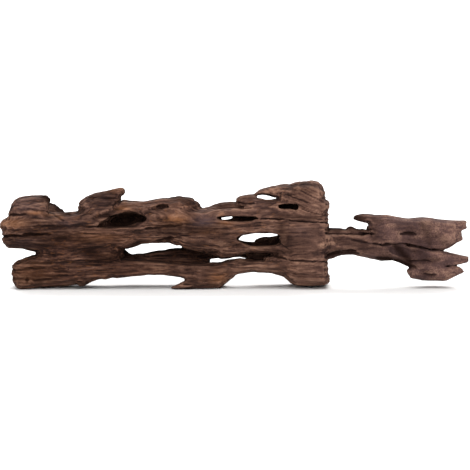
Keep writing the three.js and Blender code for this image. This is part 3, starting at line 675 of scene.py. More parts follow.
@dataclass
class GrainField:
    """Where each point of the surface lies in the wood's own grain, in millimetres.

    Attributes:
        meander: How far the grain wanders up and down.
        slow_wander: The size of its slow waves, along and up.
        quick_wander: The size of its quick waves, along, up and inwards.
        quick_share: How high the quick waves are beside the slow ones.
        lens_push: How far the grain is pushed apart by a lens, as a share of the way from its middle.
        lens_hold: How far out a lens is felt, as the square of its radii.
        crown_x: Where the grain of the crown falls to the right, from the left tip.
        crown_height: The height above which it does.
        crown_blend: How much higher up it does so fully.
        crown_reach: How far to each side of crown_x it goes on falling.
        crown_fall: The slope of the grain there.
    """

    meander: float = 1.0
    slow_wander: tuple[float, float] = (37.0, 40.0)
    quick_wander: Triple = (15.0, 23.0, 30.0)
    quick_share: float = 0.5
    lens_push: float = 0.6
    lens_hold: float = 5.0
    crown_x: float = 306.0
    crown_height: float = 66.0
    crown_blend: float = 14.0
    crown_reach: float = 22.0
    crown_fall: float = 0.5

    def place(self, points: Array) -> tuple[Array, Array, Array]:
        """Splits points into the distance from the left tip, the seen height and the depth.

        Args:
            points: Positions in metres in the shared frame.

        Returns:
            Three arrays in millimetres.
        """
        x = (points[:, 0] - LEFT_TIP) / MM
        depth = (points[:, 1] - MIDDLE_PLANE) / MM
        return x, points[:, 2] / MM + depth * SIGHT_FALL, depth

    def coordinates(self, points: Array) -> Array:
        """Works out the grain's own coordinates: along it, across it, and into the wood.

        Args:
            points: Positions in metres in the shared frame.

        Returns:
            One row of three for each point, in metres.
        """
        x, height, depth = self.place(points)
        along, up = self.slow_wander
        across = height + self.meander * np.sin(x / along + height / up)
        along, up, inwards = self.quick_wander
        ripple = np.sin(x / along - height / up + depth / inwards)
        across += self.quick_share * self.meander * ripple
        for lens in LENSES.values():
            reach = lens.reach(x, height)
            pushed = self.lens_push * (height - lens.height) / np.maximum(reach, 1.0)
            across -= pushed * np.exp(-reach / self.lens_hold)
        turned = smooth_step(height, self.crown_height, self.crown_height + self.crown_blend)
        fall = np.tanh((x - self.crown_x) / self.crown_reach)
        across += self.crown_fall * self.crown_reach * turned * fall
        return np.stack([x, across, depth], axis=1) * MM


@dataclass
class GrainRelief:
    """The relief of eroded wood, as a tree of geometry nodes that follows the surface, in metres.

    Attributes:
        broad_depth: The height of the slow swells of the whole surface.
        broad_size: Their length.
        ridge_depth: The height of the ridges along the grain.
        ridge_width: How far apart they are.
        ridge_length: How long they are.
        furrow_depth: The depth of the sparse furrows between them.
        ledge_depth: The height of the steps where layers of fibre have broken away.
        ledge_width: How far apart the steps are.
        fine_depth: The height of the fine fibre.
        fine_width: How far apart it is.
        fray_depth: The height of the rough, broken end grain.
        settle: How far the surface sinks, so that the ridges' tops stay at the solids' faces.
        smoothing: The share of the relief along the grain that the smoothest wood has lost.
        seed: What the noise of each layer starts from.
    """

    broad_depth: float = 1.6 * MM
    broad_size: float = 26.0 * MM
    ridge_depth: float = 0.9 * MM
    ridge_width: float = 4.0 * MM
    ridge_length: float = 52.0 * MM
    furrow_depth: float = 1.2 * MM
    ledge_depth: float = 2.4 * MM
    ledge_width: float = 9.0 * MM
    fine_depth: float = 0.5 * MM
    fine_width: float = 2.0 * MM
    fray_depth: float = 3.2 * MM
    settle: float = -0.3 * MM
    smoothing: float = -0.55
    seed: float = 11.0

    CREST = 0.28  # the size of the noise where a ridge is level with the surface
    RIDGE_GAIN = 2.0  # how much higher the ridges stand than the noise
    FURROW_CUT = (0.22, 0.55)  # the noise where a furrow starts, and is at its deepest
    FURROW_LENGTH = 0.8  # the length of a furrow against a ridge's
    LEDGE_LENGTH = 7.0  # the length of a ledge against its width
    LEDGE_STEPS = 2.6  # how many steps the noise is cut in
    LEDGE_EDGE = 0.7  # the share of a step that is flat before its edge
    LEDGE_SHARE = 0.3  # how much of its depth a step has
    FINE_LENGTH = 8.0  # the length of fine fibre against its width
    FRAY_CELLS = (0.03, 0.014, 0.0045)  # the size of the bundles in the end grain, in metres
    FRAY_LEVEL = 0.45  # the noise where end grain is level with the surface
    GROUND_FADE = (0.0002, 0.004)  # heights that the relief fades in between, off flat feet
    BLURS = (("hollow", 110), ("worn", 6))  # rounds that smooth the surface for each stored depth
    RAYS = 12  # ways out that are tried from each point
    RAY_SPREAD = 0.97  # how far the ways out spread from the normal
    RAY_LIFT = 0.0006  # how far off the surface they start, in metres
    RAY_LENGTH = 0.032  # how far they go, in metres

    def inputs(self) -> dict[str, float]:
        """The tree's named inputs and their values."""
        return {name.replace("_", " ").title(): value for name, value in asdict(self).items()}

    def rows(self) -> list[tuple]:
        """Lists the steps that work out how each point of the surface moves.

        Returns:
            Rows for a sheet of steps; "move" and "standing" are what they lead to.
        """
        rows = [
            ("furrow_length", Step.MULTIPLY, "Ridge Length", self.FURROW_LENGTH),
            ("ledge_length", Step.MULTIPLY, "Ledge Width", self.LEDGE_LENGTH),
            ("fine_length", Step.MULTIPLY, "Fine Width", self.FINE_LENGTH),
        ]
        # The grain's coordinates are counted in cells that are long along it
        for layer, length, width in (
            (Layer.RIDGE, "Ridge Length", "Ridge Width"),
            (Layer.FURROW, "furrow_length", "Ridge Width"),
            (Layer.LEDGE, "ledge_length", "Ledge Width"),
            (Layer.FINE, "fine_length", "Fine Width"),
        ):
            rows += [
                ("cell", Step.JOIN, length, width, width),
                (layer.name, Step.COUNT, "grain", "cell"),
            ]
        rows += [
            ("swells", Step.DIVIDE, 1.0, "Broad Size"),
            (Layer.BROAD.name, Step.SCALE, "position", "swells"),
            (Layer.FRAY.name, Step.COUNT, "position", self.FRAY_CELLS),
        ]
        for layer in Layer:
            offset, detail = layer.value
            rows += [
                ("start", Step.ADD, "Seed", offset),
                ("noise", Step.SEEDED_NOISE, layer.name, 1.0, detail, NOISE_ROUGHNESS, "start"),
                (layer.name, Step.MULTIPLY_ADD, "noise", 2.0, -1.0),
            ]
        return rows + [
            ("facing", Step.SIZE, "normal_x"),
            ("sided", Step.SUBTRACT, 1.0, "facing"),
            ("sided", Step.MULTIPLY, "smooth", "sided"),
            ("rugged", Step.MULTIPLY_ADD, "sided", "Smoothing", 1.0),
            # Ridges are sharp on top and round below: a level less the size of the noise
            ("ridge", Step.SIZE, Layer.RIDGE.name),
            ("ridge", Step.SUBTRACT, self.CREST, "ridge"),
            ("ridge", Step.MULTIPLY, "ridge", "Ridge Depth"),
            ("ridge", Step.MULTIPLY, "ridge", self.RIDGE_GAIN),
            ("furrow", Step.SMOOTH_SPAN, Layer.FURROW.name, *self.FURROW_CUT),
            ("furrow", Step.MULTIPLY, "furrow", "Furrow Depth"),
            # Layers: flat, with a sharp edge at the end of each of a few steps
            ("layers", Step.MULTIPLY, Layer.LEDGE.name, self.LEDGE_STEPS),
            ("edge", Step.REST, "layers"),
            ("edge", Step.SMOOTH_SPAN, "edge", self.LEDGE_EDGE, 1.0),
            ("ledge", Step.WHOLE, "layers"),
            ("ledge", Step.ADD, "ledge", "edge"),
            ("ledge", Step.MULTIPLY, "ledge", "Ledge Depth"),
            ("ledge", Step.MULTIPLY, "ledge", self.LEDGE_SHARE),
            ("fine", Step.MULTIPLY, Layer.FINE.name, "Fine Depth"),
            # End grain stands out in bundles of fibres where the surface faces along the trunk
            ("torn", Step.SUBTRACT, Layer.FRAY.name, self.FRAY_LEVEL),
            ("ends", Step.POWER, "facing", 2.0),
            ("fray", Step.MULTIPLY, "torn", "ends"),
            ("fray", Step.MULTIPLY, "fray", "Fray Depth"),
            ("high", Step.ADD, "ridge", "ledge"),
            ("low", Step.SUBTRACT, "fine", "furrow"),
            ("along_grain", Step.ADD, "high", "low"),
            ("along_grain", Step.MULTIPLY, "along_grain", "rugged"),
            ("broad", Step.MULTIPLY, Layer.BROAD.name, "Broad Depth"),
            ("all_round", Step.ADD, "broad", "fray"),
            ("raised", Step.ADD, "along_grain", "all_round"),
            ("sunk", Step.ADD, "sink", "Settle"),
            ("total", Step.SUBTRACT, "raised", "sunk"),
            ("off_ground", Step.SPAN, "height", *self.GROUND_FADE),
            ("total", Step.MULTIPLY, "total", "off_ground"),
            ("move", Step.SCALE, "normal", "total"),
            ("above", Step.LARGER, "height", 0.0),
            ("standing", Step.JOIN, "x", "y", "above"),
        ]

    def survey(self, tree: NodeTree, made: dict[str, Socket], geometry: Socket) -> Socket:
        """Stores how hollow each point is, how far it stands out as a rim, kept as worn, and how
        sheltered it is.

        Args:
            tree: The relief's tree.
            made: The results so far, with each point's position and normal.
            geometry: The carved surface.

        Returns:
            The surface with the three attributes.
        """
        for name, rounds in self.BLURS:
            inputs = {"Value": made["position"], "Iterations": rounds}
            blur = add_node(tree, "GeometryNodeBlurAttribute", inputs, data_type="FLOAT_VECTOR")
            made["blurred"] = blur.outputs[0]
            follow(tree, made, [
                ("above", Step.AWAY, "blurred", "position"),
                (name, Step.ALONG, "above", "normal"),
            ])
        follow(tree, made, [
            ("lift", Step.SCALE, "normal", self.RAY_LIFT),
            ("start", Step.MOVE, "position", "lift"),
        ])
        # The share of the ways out from each point that more wood closes off
        for i in range(self.RAYS):
            tall = 1.0 - (2 * i + 1) / self.RAYS
            turn = i * GOLDEN_ANGLE
            flat = self.RAY_SPREAD * math.sqrt(1.0 - tall * tall)
            way = (flat * math.cos(turn), flat * math.sin(turn), self.RAY_SPREAD * tall)
            follow(tree, made, [("way", Step.MOVE, "normal", way)])
            ray = add_node(tree, "GeometryNodeRaycast", {
                "Target Geometry": geometry, "Source Position": made["start"],
                "Ray Direction": made["way"], "Ray Length": self.RAY_LENGTH,
            })
            made["hit"] = ray.outputs["Is Hit"]
            follow(tree, made, [("closed", Step.ADD, "closed" if i else 0.0, "hit")])
        follow(tree, made, [("sheltered", Step.DIVIDE, "closed", float(self.RAYS))])
        for name in ("hollow", "worn", "sheltered"):
            inputs = {"Geometry": geometry, "Name": name, "Value": made[name]}
            stored = add_node(tree, "GeometryNodeStoreNamedAttribute", inputs,
                              data_type="FLOAT", domain="POINT")
            geometry = stored.outputs[0]
        return geometry

    def tree(self) -> NodeTree:
        """Builds the geometry node tree.

        Returns:
            The tree, which ends in Realize Instances and Set Material.
        """
        tree = bpy.data.node_groups.new("grain_relief", "GeometryNodeTree")
        tree.interface.new_socket("Geometry", in_out="INPUT", socket_type="NodeSocketGeometry")
        for name in self.inputs():
            tree.interface.new_socket(name, in_out="INPUT", socket_type="NodeSocketFloat")
        tree.interface.new_socket("Material", in_out="INPUT", socket_type="NodeSocketMaterial")
        tree.interface.new_socket("Geometry", in_out="OUTPUT", socket_type="NodeSocketGeometry")
        given = add_node(tree, "NodeGroupInput").outputs
        made = {name: given[name] for name in self.inputs()}
        made["position"] = add_node(tree, "GeometryNodeInputPosition").outputs[0]
        made["normal"] = add_node(tree, "GeometryNodeInputNormal").outputs[0]
        parts = add_node(tree, "ShaderNodeSeparateXYZ", {0: made["position"]}).outputs
        made.update(zip(("x", "y", "height"), parts))
        turned = add_node(tree, "ShaderNodeSeparateXYZ", {0: made["normal"]})
        made["normal_x"] = turned.outputs[0]
        kinds = {"grain": "FLOAT_VECTOR", "sink": "FLOAT", Tone.SMOOTH.value: "FLOAT"}
        for name, kind in kinds.items():
            read = add_node(tree, "GeometryNodeInputNamedAttribute", {"Name": name}, data_type=kind)
            made[name] = read.outputs[0]
        follow(tree, made, self.rows())
        inputs = {"Geometry": given["Geometry"], "Offset": made["move"]}
        carved = add_node(tree, "GeometryNodeSetPosition", inputs).outputs[0]
        inputs = {"Geometry": carved, "Position": made["standing"]}
        standing = add_node(tree, "GeometryNodeSetPosition", inputs).outputs[0]
        surveyed = self.survey(tree, made, standing)
        smooth = add_node(tree, "GeometryNodeSetShadeSmooth", {"Geometry": surveyed}).outputs[0]
        real = add_node(tree, "GeometryNodeRealizeInstances", {"Geometry": smooth}).outputs[0]
        inputs = {"Geometry": real, "Material": given["Material"]}
        dressed = add_node(tree, "GeometryNodeSetMaterial", inputs).outputs[0]
        add_node(tree, "NodeGroupOutput", {"Geometry": dressed})
        return tree

    def carve(self, body: Body, material: bpy.types.Material) -> Mesh:
        """Carves the relief into a body.

        Args:
            body: The rounded body, with its grain and sink attributes.
            material: The wood that covers it.

        Returns:
            The carved body as a plain mesh.
        """
        tree = self.tree()
        modifier = body.modifiers.new("relief", "NODES")
        modifier.node_group = tree
        inputs = [item for item in tree.interface.items_tree if item.in_out == "INPUT"]
        sockets = {item.name: item.identifier for item in inputs}
        for name, value in {**self.inputs(), "Material": material}.items():
            modifier[sockets[name]] = value
        carved = plain_mesh(body)
        body.modifiers.remove(modifier)
        return carved


@dataclass(frozen=True)
class WeatheredRootWood:
    """Dead hardwood root, eroded and dried: rough, matt, dark brown, paler where it is worn, with a
    painted highlight on its rims.

    Attributes:
        name: The material's name.
        darkest: The darkest wood, and the painted shade deep in cracks and hollows.
        deep: The dark bands of the grain.
        middle: The wood that most of the surface shows.
        pale: The tops of the ridges, paler by wear and by a painted highlight.
        palest: Dry fibre on the sharpest rims, with a painted highlight.
        ochre: Orange heartwood where the skin has worn away.
        rust: What the lower strands' colour is multiplied by, which leaves them darker and redder.
        ash: Purple grey, where the skin is left.
        blush: Pinkish grey brown of the right end.
        speckle: How strongly fine dark specks show.
        stops: Where on the way from dark to pale the five browns lie.
        again: How far the second set of patterns along the grain is moved from the first.
        ior: The refraction of dry wood.
    """

    name: str
    darkest: str = "#170d0a"
    deep: str = "#2b1b16"
    middle: str = "#4b342b"
    pale: str = "#6e5143"
    palest: str = "#92705c"
    ochre: str = "#8a5a38"
    rust: str = "#e6d8cf"
    ash: str = "#42363a"
    blush: str = "#5a4443"
    speckle: float = 0.5
    stops: tuple[float, ...] = (0.06, 0.27, 0.5, 0.72, 0.95)
    again: Triple = (0.31, 0.17, 0.05)
    ior: float = 1.45

    WORN = 0.35 * MM  # how far a rim stands over the smoothed surface where it is palest, by wear and by a painted highlight
    HOLLOW = (1.2 * MM, 9.5 * MM)  # how far a hollow lies under it where painted shade starts, and is darkest
    SHELTER = (0.4, 0.95)  # the share of the ways out that is closed, in the same way
    RUN = (20.0 * MM, 330.0 * MM)  # where along the root the wood starts to be paler, and is palest
    BUMP = 1.0 * MM  # the height of the fibre that only the shading shows

    def surface(self, tree: NodeTree) -> dict[str, Socket]:
        """Reads what is stored on the surface, and draws the patterns of the wood on it.

        Args:
            tree: The material's tree.

        Returns:
            Each attribute and each pattern by name.
        """
        made = {}
        for name in ("cut", "hollow", "worn", "sheltered", *(tone.value for tone in Tone)):
            made[name] = add_node(tree, "ShaderNodeAttribute", attribute_name=name).outputs["Fac"]
        grain = add_node(tree, "ShaderNodeAttribute", attribute_name="grain")
        made["grain"] = grain.outputs["Vector"]
        made["run"] = add_node(tree, "ShaderNodeSeparateXYZ", {0: made["grain"]}).outputs[0]
        made["place"] = add_node(tree, "ShaderNodeTexCoord").outputs["Object"]
        here, full = (0.0, 0.0, 0.0), (1.0, 1.0, 1.0)
        rows = [("grain_again", Step.MAP, "grain", self.again, full)]
        for name, pattern in PATTERNS.items():
            along, across = 1.0 / (pattern.length * MM), 1.0 / (pattern.width * MM)
            rows += [
                ("cells", Step.MAP, pattern.space, here, (along, across, across)),
                (name, Step.NOISE, "cells", 1.0, pattern.detail, pattern.roughness),
            ]
        follow(tree, made, rows)
        return made

    def tone_rows(self) -> list[tuple]:
        """Lists the steps that add up how pale each point is, from 0 to 1.

        A row's numbers are strengths on that way from dark to pale: what is added where the tone
        before them is full, and what there is without it.

        Returns:
            Rows for a sheet of steps; "tone" is what they lead to.
        """
        rows = [
            # Rims that stand out are lighter: wear, and a painted highlight
            ("worn", Step.SPAN, "worn", self.WORN, -self.WORN),
            ("run", Step.SPAN, "run", *self.RUN),
            ("tone", Step.MULTIPLY_ADD, "run", 0.15, 0.315),
            ("tone", Step.MULTIPLY_ADD, "blush", -0.05, "tone"),
            # Pale patches lift the tone, as paler wood and as painted light
            ("tone", Step.MULTIPLY_ADD, "pale", 0.2, "tone"),
            ("streaks", Step.MULTIPLY_ADD, "smooth", -0.56, 0.88),
            ("bare", Step.POWER, "blush", 2.0),
            ("blotches", Step.MULTIPLY, "bare", 1.6),
            ("grit", Step.MULTIPLY_ADD, "bare", 0.35, 0.35),
        ]
        # Each pattern makes the wood paler and darker about its mean, as strongly as its pair says;
        # the worn rims are lighter by wear and by a painted highlight
        for pattern, strength in (
            ("bands", "streaks"), ("fibre", "streaks"), ("stains", 0.75), ("mottle", "blotches"),
            ("specks", "grit"), ("dust", "bare"), ("worn", 0.44),
        ):
            rows += [
                ("swing", Step.SUBTRACT, pattern, 0.5),
                ("tone", Step.MULTIPLY_ADD, "swing", strength, "tone"),
            ]
        return rows + [
            ("dash", Step.SPAN, "dashes", 0.56, 0.68),
            ("dash_depth", Step.MULTIPLY_ADD, "smooth", -0.14, 0.17),
            ("dash", Step.MULTIPLY, "dash", "dash_depth"),
            ("tone", Step.SUBTRACT, "tone", "dash"),
        ]

    def colour_rows(self) -> list[tuple]:
        """Lists the steps that lay the tints, the specks and the shade over the browns.

        Returns:
            Rows for a sheet of steps; "colour" is what they lead to.
        """
        rows = [
            # Heartwood shows in patches that the bands break up, and as small flecks
            ("mottled", Step.ADD, "fibre", "bands"),
            ("mottled", Step.SPAN, "mottled", 0.76, 1.1),
            ("ochre", Step.MULTIPLY, "ochre", "mottled"),
            ("ochre", Step.MULTIPLY, "ochre", 0.6),
            ("fleck", Step.SPAN, "flecks", 0.44, 0.3),
            ("fleck_strength", Step.MULTIPLY_ADD, "smooth", -0.28, 0.28),
            ("fleck", Step.MULTIPLY, "fleck", "fleck_strength"),
            ("ochre", Step.LARGER, "ochre", "fleck"),
            ("skin", Step.ADD, "stains", "bands"),
            ("skin", Step.SPAN, "skin", 0.75, 1.15),
            ("ash", Step.MULTIPLY, "ash", "skin"),
            ("ash", Step.MULTIPLY, "ash", 0.6),
            ("blush", Step.MULTIPLY, "blush", 0.45),
            ("speck", Step.SPAN, "specks", 0.54, 0.7),
            ("speck_strength", Step.MULTIPLY_ADD, "smooth", 0.3, self.speckle),
            ("speck", Step.MULTIPLY, "speck", "speck_strength"),
            # Shade is painted into hollows and sheltered places, less where the pale patches lie, and
            # into cracks and bands of painted shade
            ("hollow", Step.SPAN, "hollow", *self.HOLLOW),
            ("hollow", Step.MULTIPLY, "hollow", 0.4),
            ("sheltered", Step.SMOOTH_SPAN, "sheltered", *self.SHELTER),
            ("sheltered", Step.MULTIPLY, "sheltered", 0.3),
            ("dirt", Step.LARGER, "hollow", "sheltered"),
            ("unrubbed", Step.SHARE, "pale", -0.8, 1.0),
            ("dirt", Step.MULTIPLY, "dirt", "unrubbed"),
            ("crack", Step.MULTIPLY, "cut", 0.93),
            ("dirt", Step.LARGER, "dirt", "crack"),
        ]
        for amount, step, colour in (
            ("ochre", Step.LAY, self.ochre), ("rust", Step.TINT, self.rust),
            ("ash", Step.LAY, self.ash), ("blush", Step.LAY, self.blush),
            ("speck", Step.LAY, self.deep), ("dirt", Step.LAY, self.darkest),
        ):
            rows.append(("colour", step, amount, "colour", linear(colour)))
        return rows

    def build(self) -> bpy.types.Material:
        """Builds the material from nodes that read the wood's own grain.

        Returns:
            The finished material.
        """
        material = bpy.data.materials.new(self.name)
        material.use_nodes = True
        tree = material.node_tree
        tree.nodes.clear()
        made = self.surface(tree)
        follow(tree, made, self.tone_rows())
        ramp = add_node(tree, "ShaderNodeValToRGB", {"Fac": made["tone"]})
        browns = (self.darkest, self.deep, self.middle, self.pale, self.palest)
        while len(ramp.color_ramp.elements) < len(browns):
            ramp.color_ramp.elements.new(0.5)
        for element, stop, colour in zip(ramp.color_ramp.elements, self.stops, browns):
            element.position = stop
            element.color = linear(colour)
        made["colour"] = ramp.outputs["Color"]
        follow(tree, made, self.colour_rows())
        follow(tree, made, [
            # Pale wood is rubbed a little smoother, and the cracks and bands of painted shade have no
            # gloss
            ("rough", Step.SHARE, "tone", -0.18, 0.95),
            ("gloss", Step.MULTIPLY_ADD, "cut", -0.12, 0.12),
            ("lift", Step.MULTIPLY, "bands", 0.5),
            ("lift", Step.MULTIPLY_ADD, "fibre", 0.7, "lift"),
            ("lift", Step.MULTIPLY_ADD, "specks", 0.22, "lift"),
            ("bump", Step.BUMP, 0.8, self.BUMP, "lift"),
        ])
        wood = add_node(tree, "ShaderNodeBsdfPrincipled", {
            "Base Color": made["colour"], "Roughness": made["rough"], "IOR": self.ior,
            "Specular IOR Level": made["gloss"], "Normal": made["bump"],
        })
        add_node(tree, "ShaderNodeOutputMaterial", {"Surface": wood.outputs[0]})
        return material


@dataclass
class GrownRoot:
    """The whole root before it is parted at its fork.

    Attributes:
        voxel: The step of the skin that is drawn over the solids, in metres.
        fill_rounds: How often the joints between strands are filled.
        wear_rounds: How often the worn places are rounded.
        relax_rounds: How often the skin is rounded.
        kept_share: The share of the skin's triangles that is kept, most of them where it curves.
        grain: Where each point lies in the wood's grain.
        relief: The relief that is carved into the skin.
    """

    voxel: float = 1.1 * MM
    fill_rounds: int = 50
    wear_rounds: int = 45
    relax_rounds: int = 7
    kept_share: float = 0.6
    grain: GrainField = field(default_factory=GrainField)
    relief: GrainRelief = field(default_factory=GrainRelief)

    WALL = (0.15, 0.6)  # how far a surface turns sideways to be a wall in part, and whole
    LENS_MARGIN = 2  # how far beyond a lens its edge is kept, in millimetres
    LENS_EDGE = (0.95, 1.25)  # where the filling fades in round a lens, in its own radii
    WEAR_DEPTH = 4.0  # how far from the middle plane wear fades out, in millimetres
    WANDER = ((0.22, 2.7, 0.0), (0.16, 1.1, 1.0), (0.25, 7.7, 0.0))  # height, length, start
    WANDER_CALM = (230.0, 370.0)  # where along the root cracks start to run straighter, and do
    WANDER_LOST = 0.6  # the share of the wander that is lost there
    THICKEN = ((0.28, 4.3, 0.5), (0.2, 1.9, 0.0))  # the same kind of waves, in a crack's width
    THICKEN_WIDTH = 2.0  # the width in millimetres over which a crack thickens less
    GROOVE_WIDTH = 0.6  # the groove's share of a crack's width
    DARK_WIDTH = 0.52  # the dark line's share of it
    BLUSHING = ((0.45, 290.0, 350.0), (0.55, 355.0, 400.0))  # share, start and end of a paler end
    POLISHED = ((0.5, 262.0, 300.0), (0.5, 335.0, 375.0))  # the same for how smooth it is
    PATCH_TURN = (0.6, -0.1)  # how far the wood turns to the viewer where a patch shows, and is whole

    def gather(self) -> Body:
        """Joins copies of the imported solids.

        Returns:
            One object that holds all three.
        """
        points, faces, count = [], [], 0
        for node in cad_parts.values():
            points.append(fetch(node.data.vertices, "co", 3))
            corners = fetch(node.data.loops, "vertex_index", 1, np.int32)
            faces.append(corners.reshape(-1, 3) + count)
            count += len(points[-1])
        near_enough = np.round(np.concatenate(points), 6)
        merged, place = np.unique(near_enough, axis=0, return_inverse=True)
        mesh = bpy.data.meshes.new("grown_root")
        triangles = place.ravel()[np.concatenate(faces)]
        mesh.from_pydata(merged.tolist(), [], triangles.tolist())
        return place_object("grown_root", mesh)

    def skin_over(self, body: Body) -> None:
        """Draws one even skin over the solids, which closes the hairline gaps between them.

        Args:
            body: The joined solids, which get the skin in their place.
        """
        modifier = body.modifiers.new("skin", "REMESH")
        modifier.mode = "VOXEL"
        modifier.voxel_size = self.voxel
        modifier.use_smooth_shade = True
        skin = plain_mesh(body)
        body.modifiers.remove(modifier)
        body.data = skin

    def round_off(self, body: Body) -> None:
        """Fills the joints between strands on the near and far walls, and rounds the facets.

        Args:
            body: The skin that is rounded.
        """
        skin = Skin(body.data)
        x, height, depth = self.grain.place(skin.points)
        weight = smooth_step(np.abs(skin.normals()[:, 1]), *self.WALL)
        for lens in LENSES.values():
            if lens.open:
                along, across = lens.along + self.LENS_MARGIN, lens.across + self.LENS_MARGIN
                reach = np.hypot((x - lens.x) / along, (height - lens.height) / across)
                weight *= smooth_step(reach, *self.LENS_EDGE)
        skin.fill_dips(self.fill_rounds, weight)
        worn = np.zeros(len(x))
        near = smooth_step(depth, self.WEAR_DEPTH, -self.WEAR_DEPTH)
        for spot in WEARS.values():
            worn = np.maximum(worn, np.exp(-spot.reach(x, height)) * near)
        skin.wear(self.wear_rounds, worn)
        skin.relax(self.relax_rounds)
        skin.apply()

    def waves(self, x: Array, sizes: tuple[Triple, ...]) -> Array:
        """Adds up waves along the root, each with a height, a length and a start."""
        return sum(high * np.sin(x / length + start) for high, length, start in sizes)

    def mark(self, body: Body) -> None:
        """Stores the grain, the cracks, the painted shade of cracks and bands, and the tones of the
        surface as attributes.

        Args:
            body: The rounded skin.
        """
        skin = Skin(body.data)
        x, height, depth = self.grain.place(skin.points)
        facing = skin.normals()[:, 1]
        wander = self.waves(x, self.WANDER)
        wander *= 1.0 - self.WANDER_LOST * smooth_step(x, *self.WANDER_CALM)
        thicken = self.waves(x, self.THICKEN)
        cut = np.zeros(len(x))
        sink = np.zeros(len(x))
        # Cracks and soft bands both paint shade into cut; only the cracks, which have a depth, are
        # also sunk
        for crack in (*CRACKS.values(), *PAINTED_SHADE_BANDS.values()):
            shows = crack.shows(facing, depth)
            away = crack.distance(x, height + wander) / crack.width
            away /= 1.0 + thicken * min(1.0, self.THICKEN_WIDTH / crack.width)
            cut = np.maximum(cut, np.exp(-((away / self.DARK_WIDTH) ** 2)) * shows * crack.dark)
            groove = np.exp(-((away / self.GROOVE_WIDTH) ** 2)) * shows
            sink = np.maximum(sink, groove * crack.depth * MM)
        for swell in SWELLS.values():
            sink -= swell.rise * MM * np.exp(-swell.reach(x, height))
        tones = {tone: np.zeros(len(x)) for tone in Tone}
        for tone, stretches in ((Tone.BLUSH, self.BLUSHING), (Tone.SMOOTH, self.POLISHED)):
            tones[tone] = sum(share * smooth_step(x, start, end) for share, start, end in stretches)
        turned = smooth_step(facing, *self.PATCH_TURN)
        for tone, patches in PATCHES.items():
            for patch in patches:
                amount = patch.strength * np.exp(-patch.reach(x, height)) * turned
                tones[tone] = np.maximum(tones[tone], amount)
        skin.write("grain", self.grain.coordinates(skin.points))
        skin.write("cut", cut)
        skin.write("sink", sink)
        for tone, amount in tones.items():
            skin.write(tone.value, amount)

    def thin_out(self, carved: Mesh) -> Mesh:
        """Spares the triangles that flat places don't need.

        Args:
            carved: The whole root with its relief.

        Returns:
            The same root with fewer triangles.
        """
        body = place_object("carved", carved)
        modifier = body.modifiers.new("spare", "DECIMATE")
        modifier.ratio = self.kept_share
        modifier.use_collapse_triangulate = True
        thinned = plain_mesh(body)
        bpy.data.objects.remove(body)
        return thinned

    def build(self, material: bpy.types.Material) -> Mesh:
        """Makes the whole root.

        Args:
            material: The wood that covers it.

        Returns:
            The carved root as one closed mesh.
        """
        body = self.gather()
        self.skin_over(body)
        log.info("skin: %d faces", len(body.data.polygons))
        self.round_off(body)
        self.mark(body)
        carved = self.thin_out(self.relief.carve(body, material))
        bpy.data.objects.remove(body)
        log.info("relief: %d faces", len(carved.polygons))
        return carved


@dataclass(frozen=True)
class Limb:
    """One piece of the root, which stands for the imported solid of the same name."""

    node: str
    slot: str


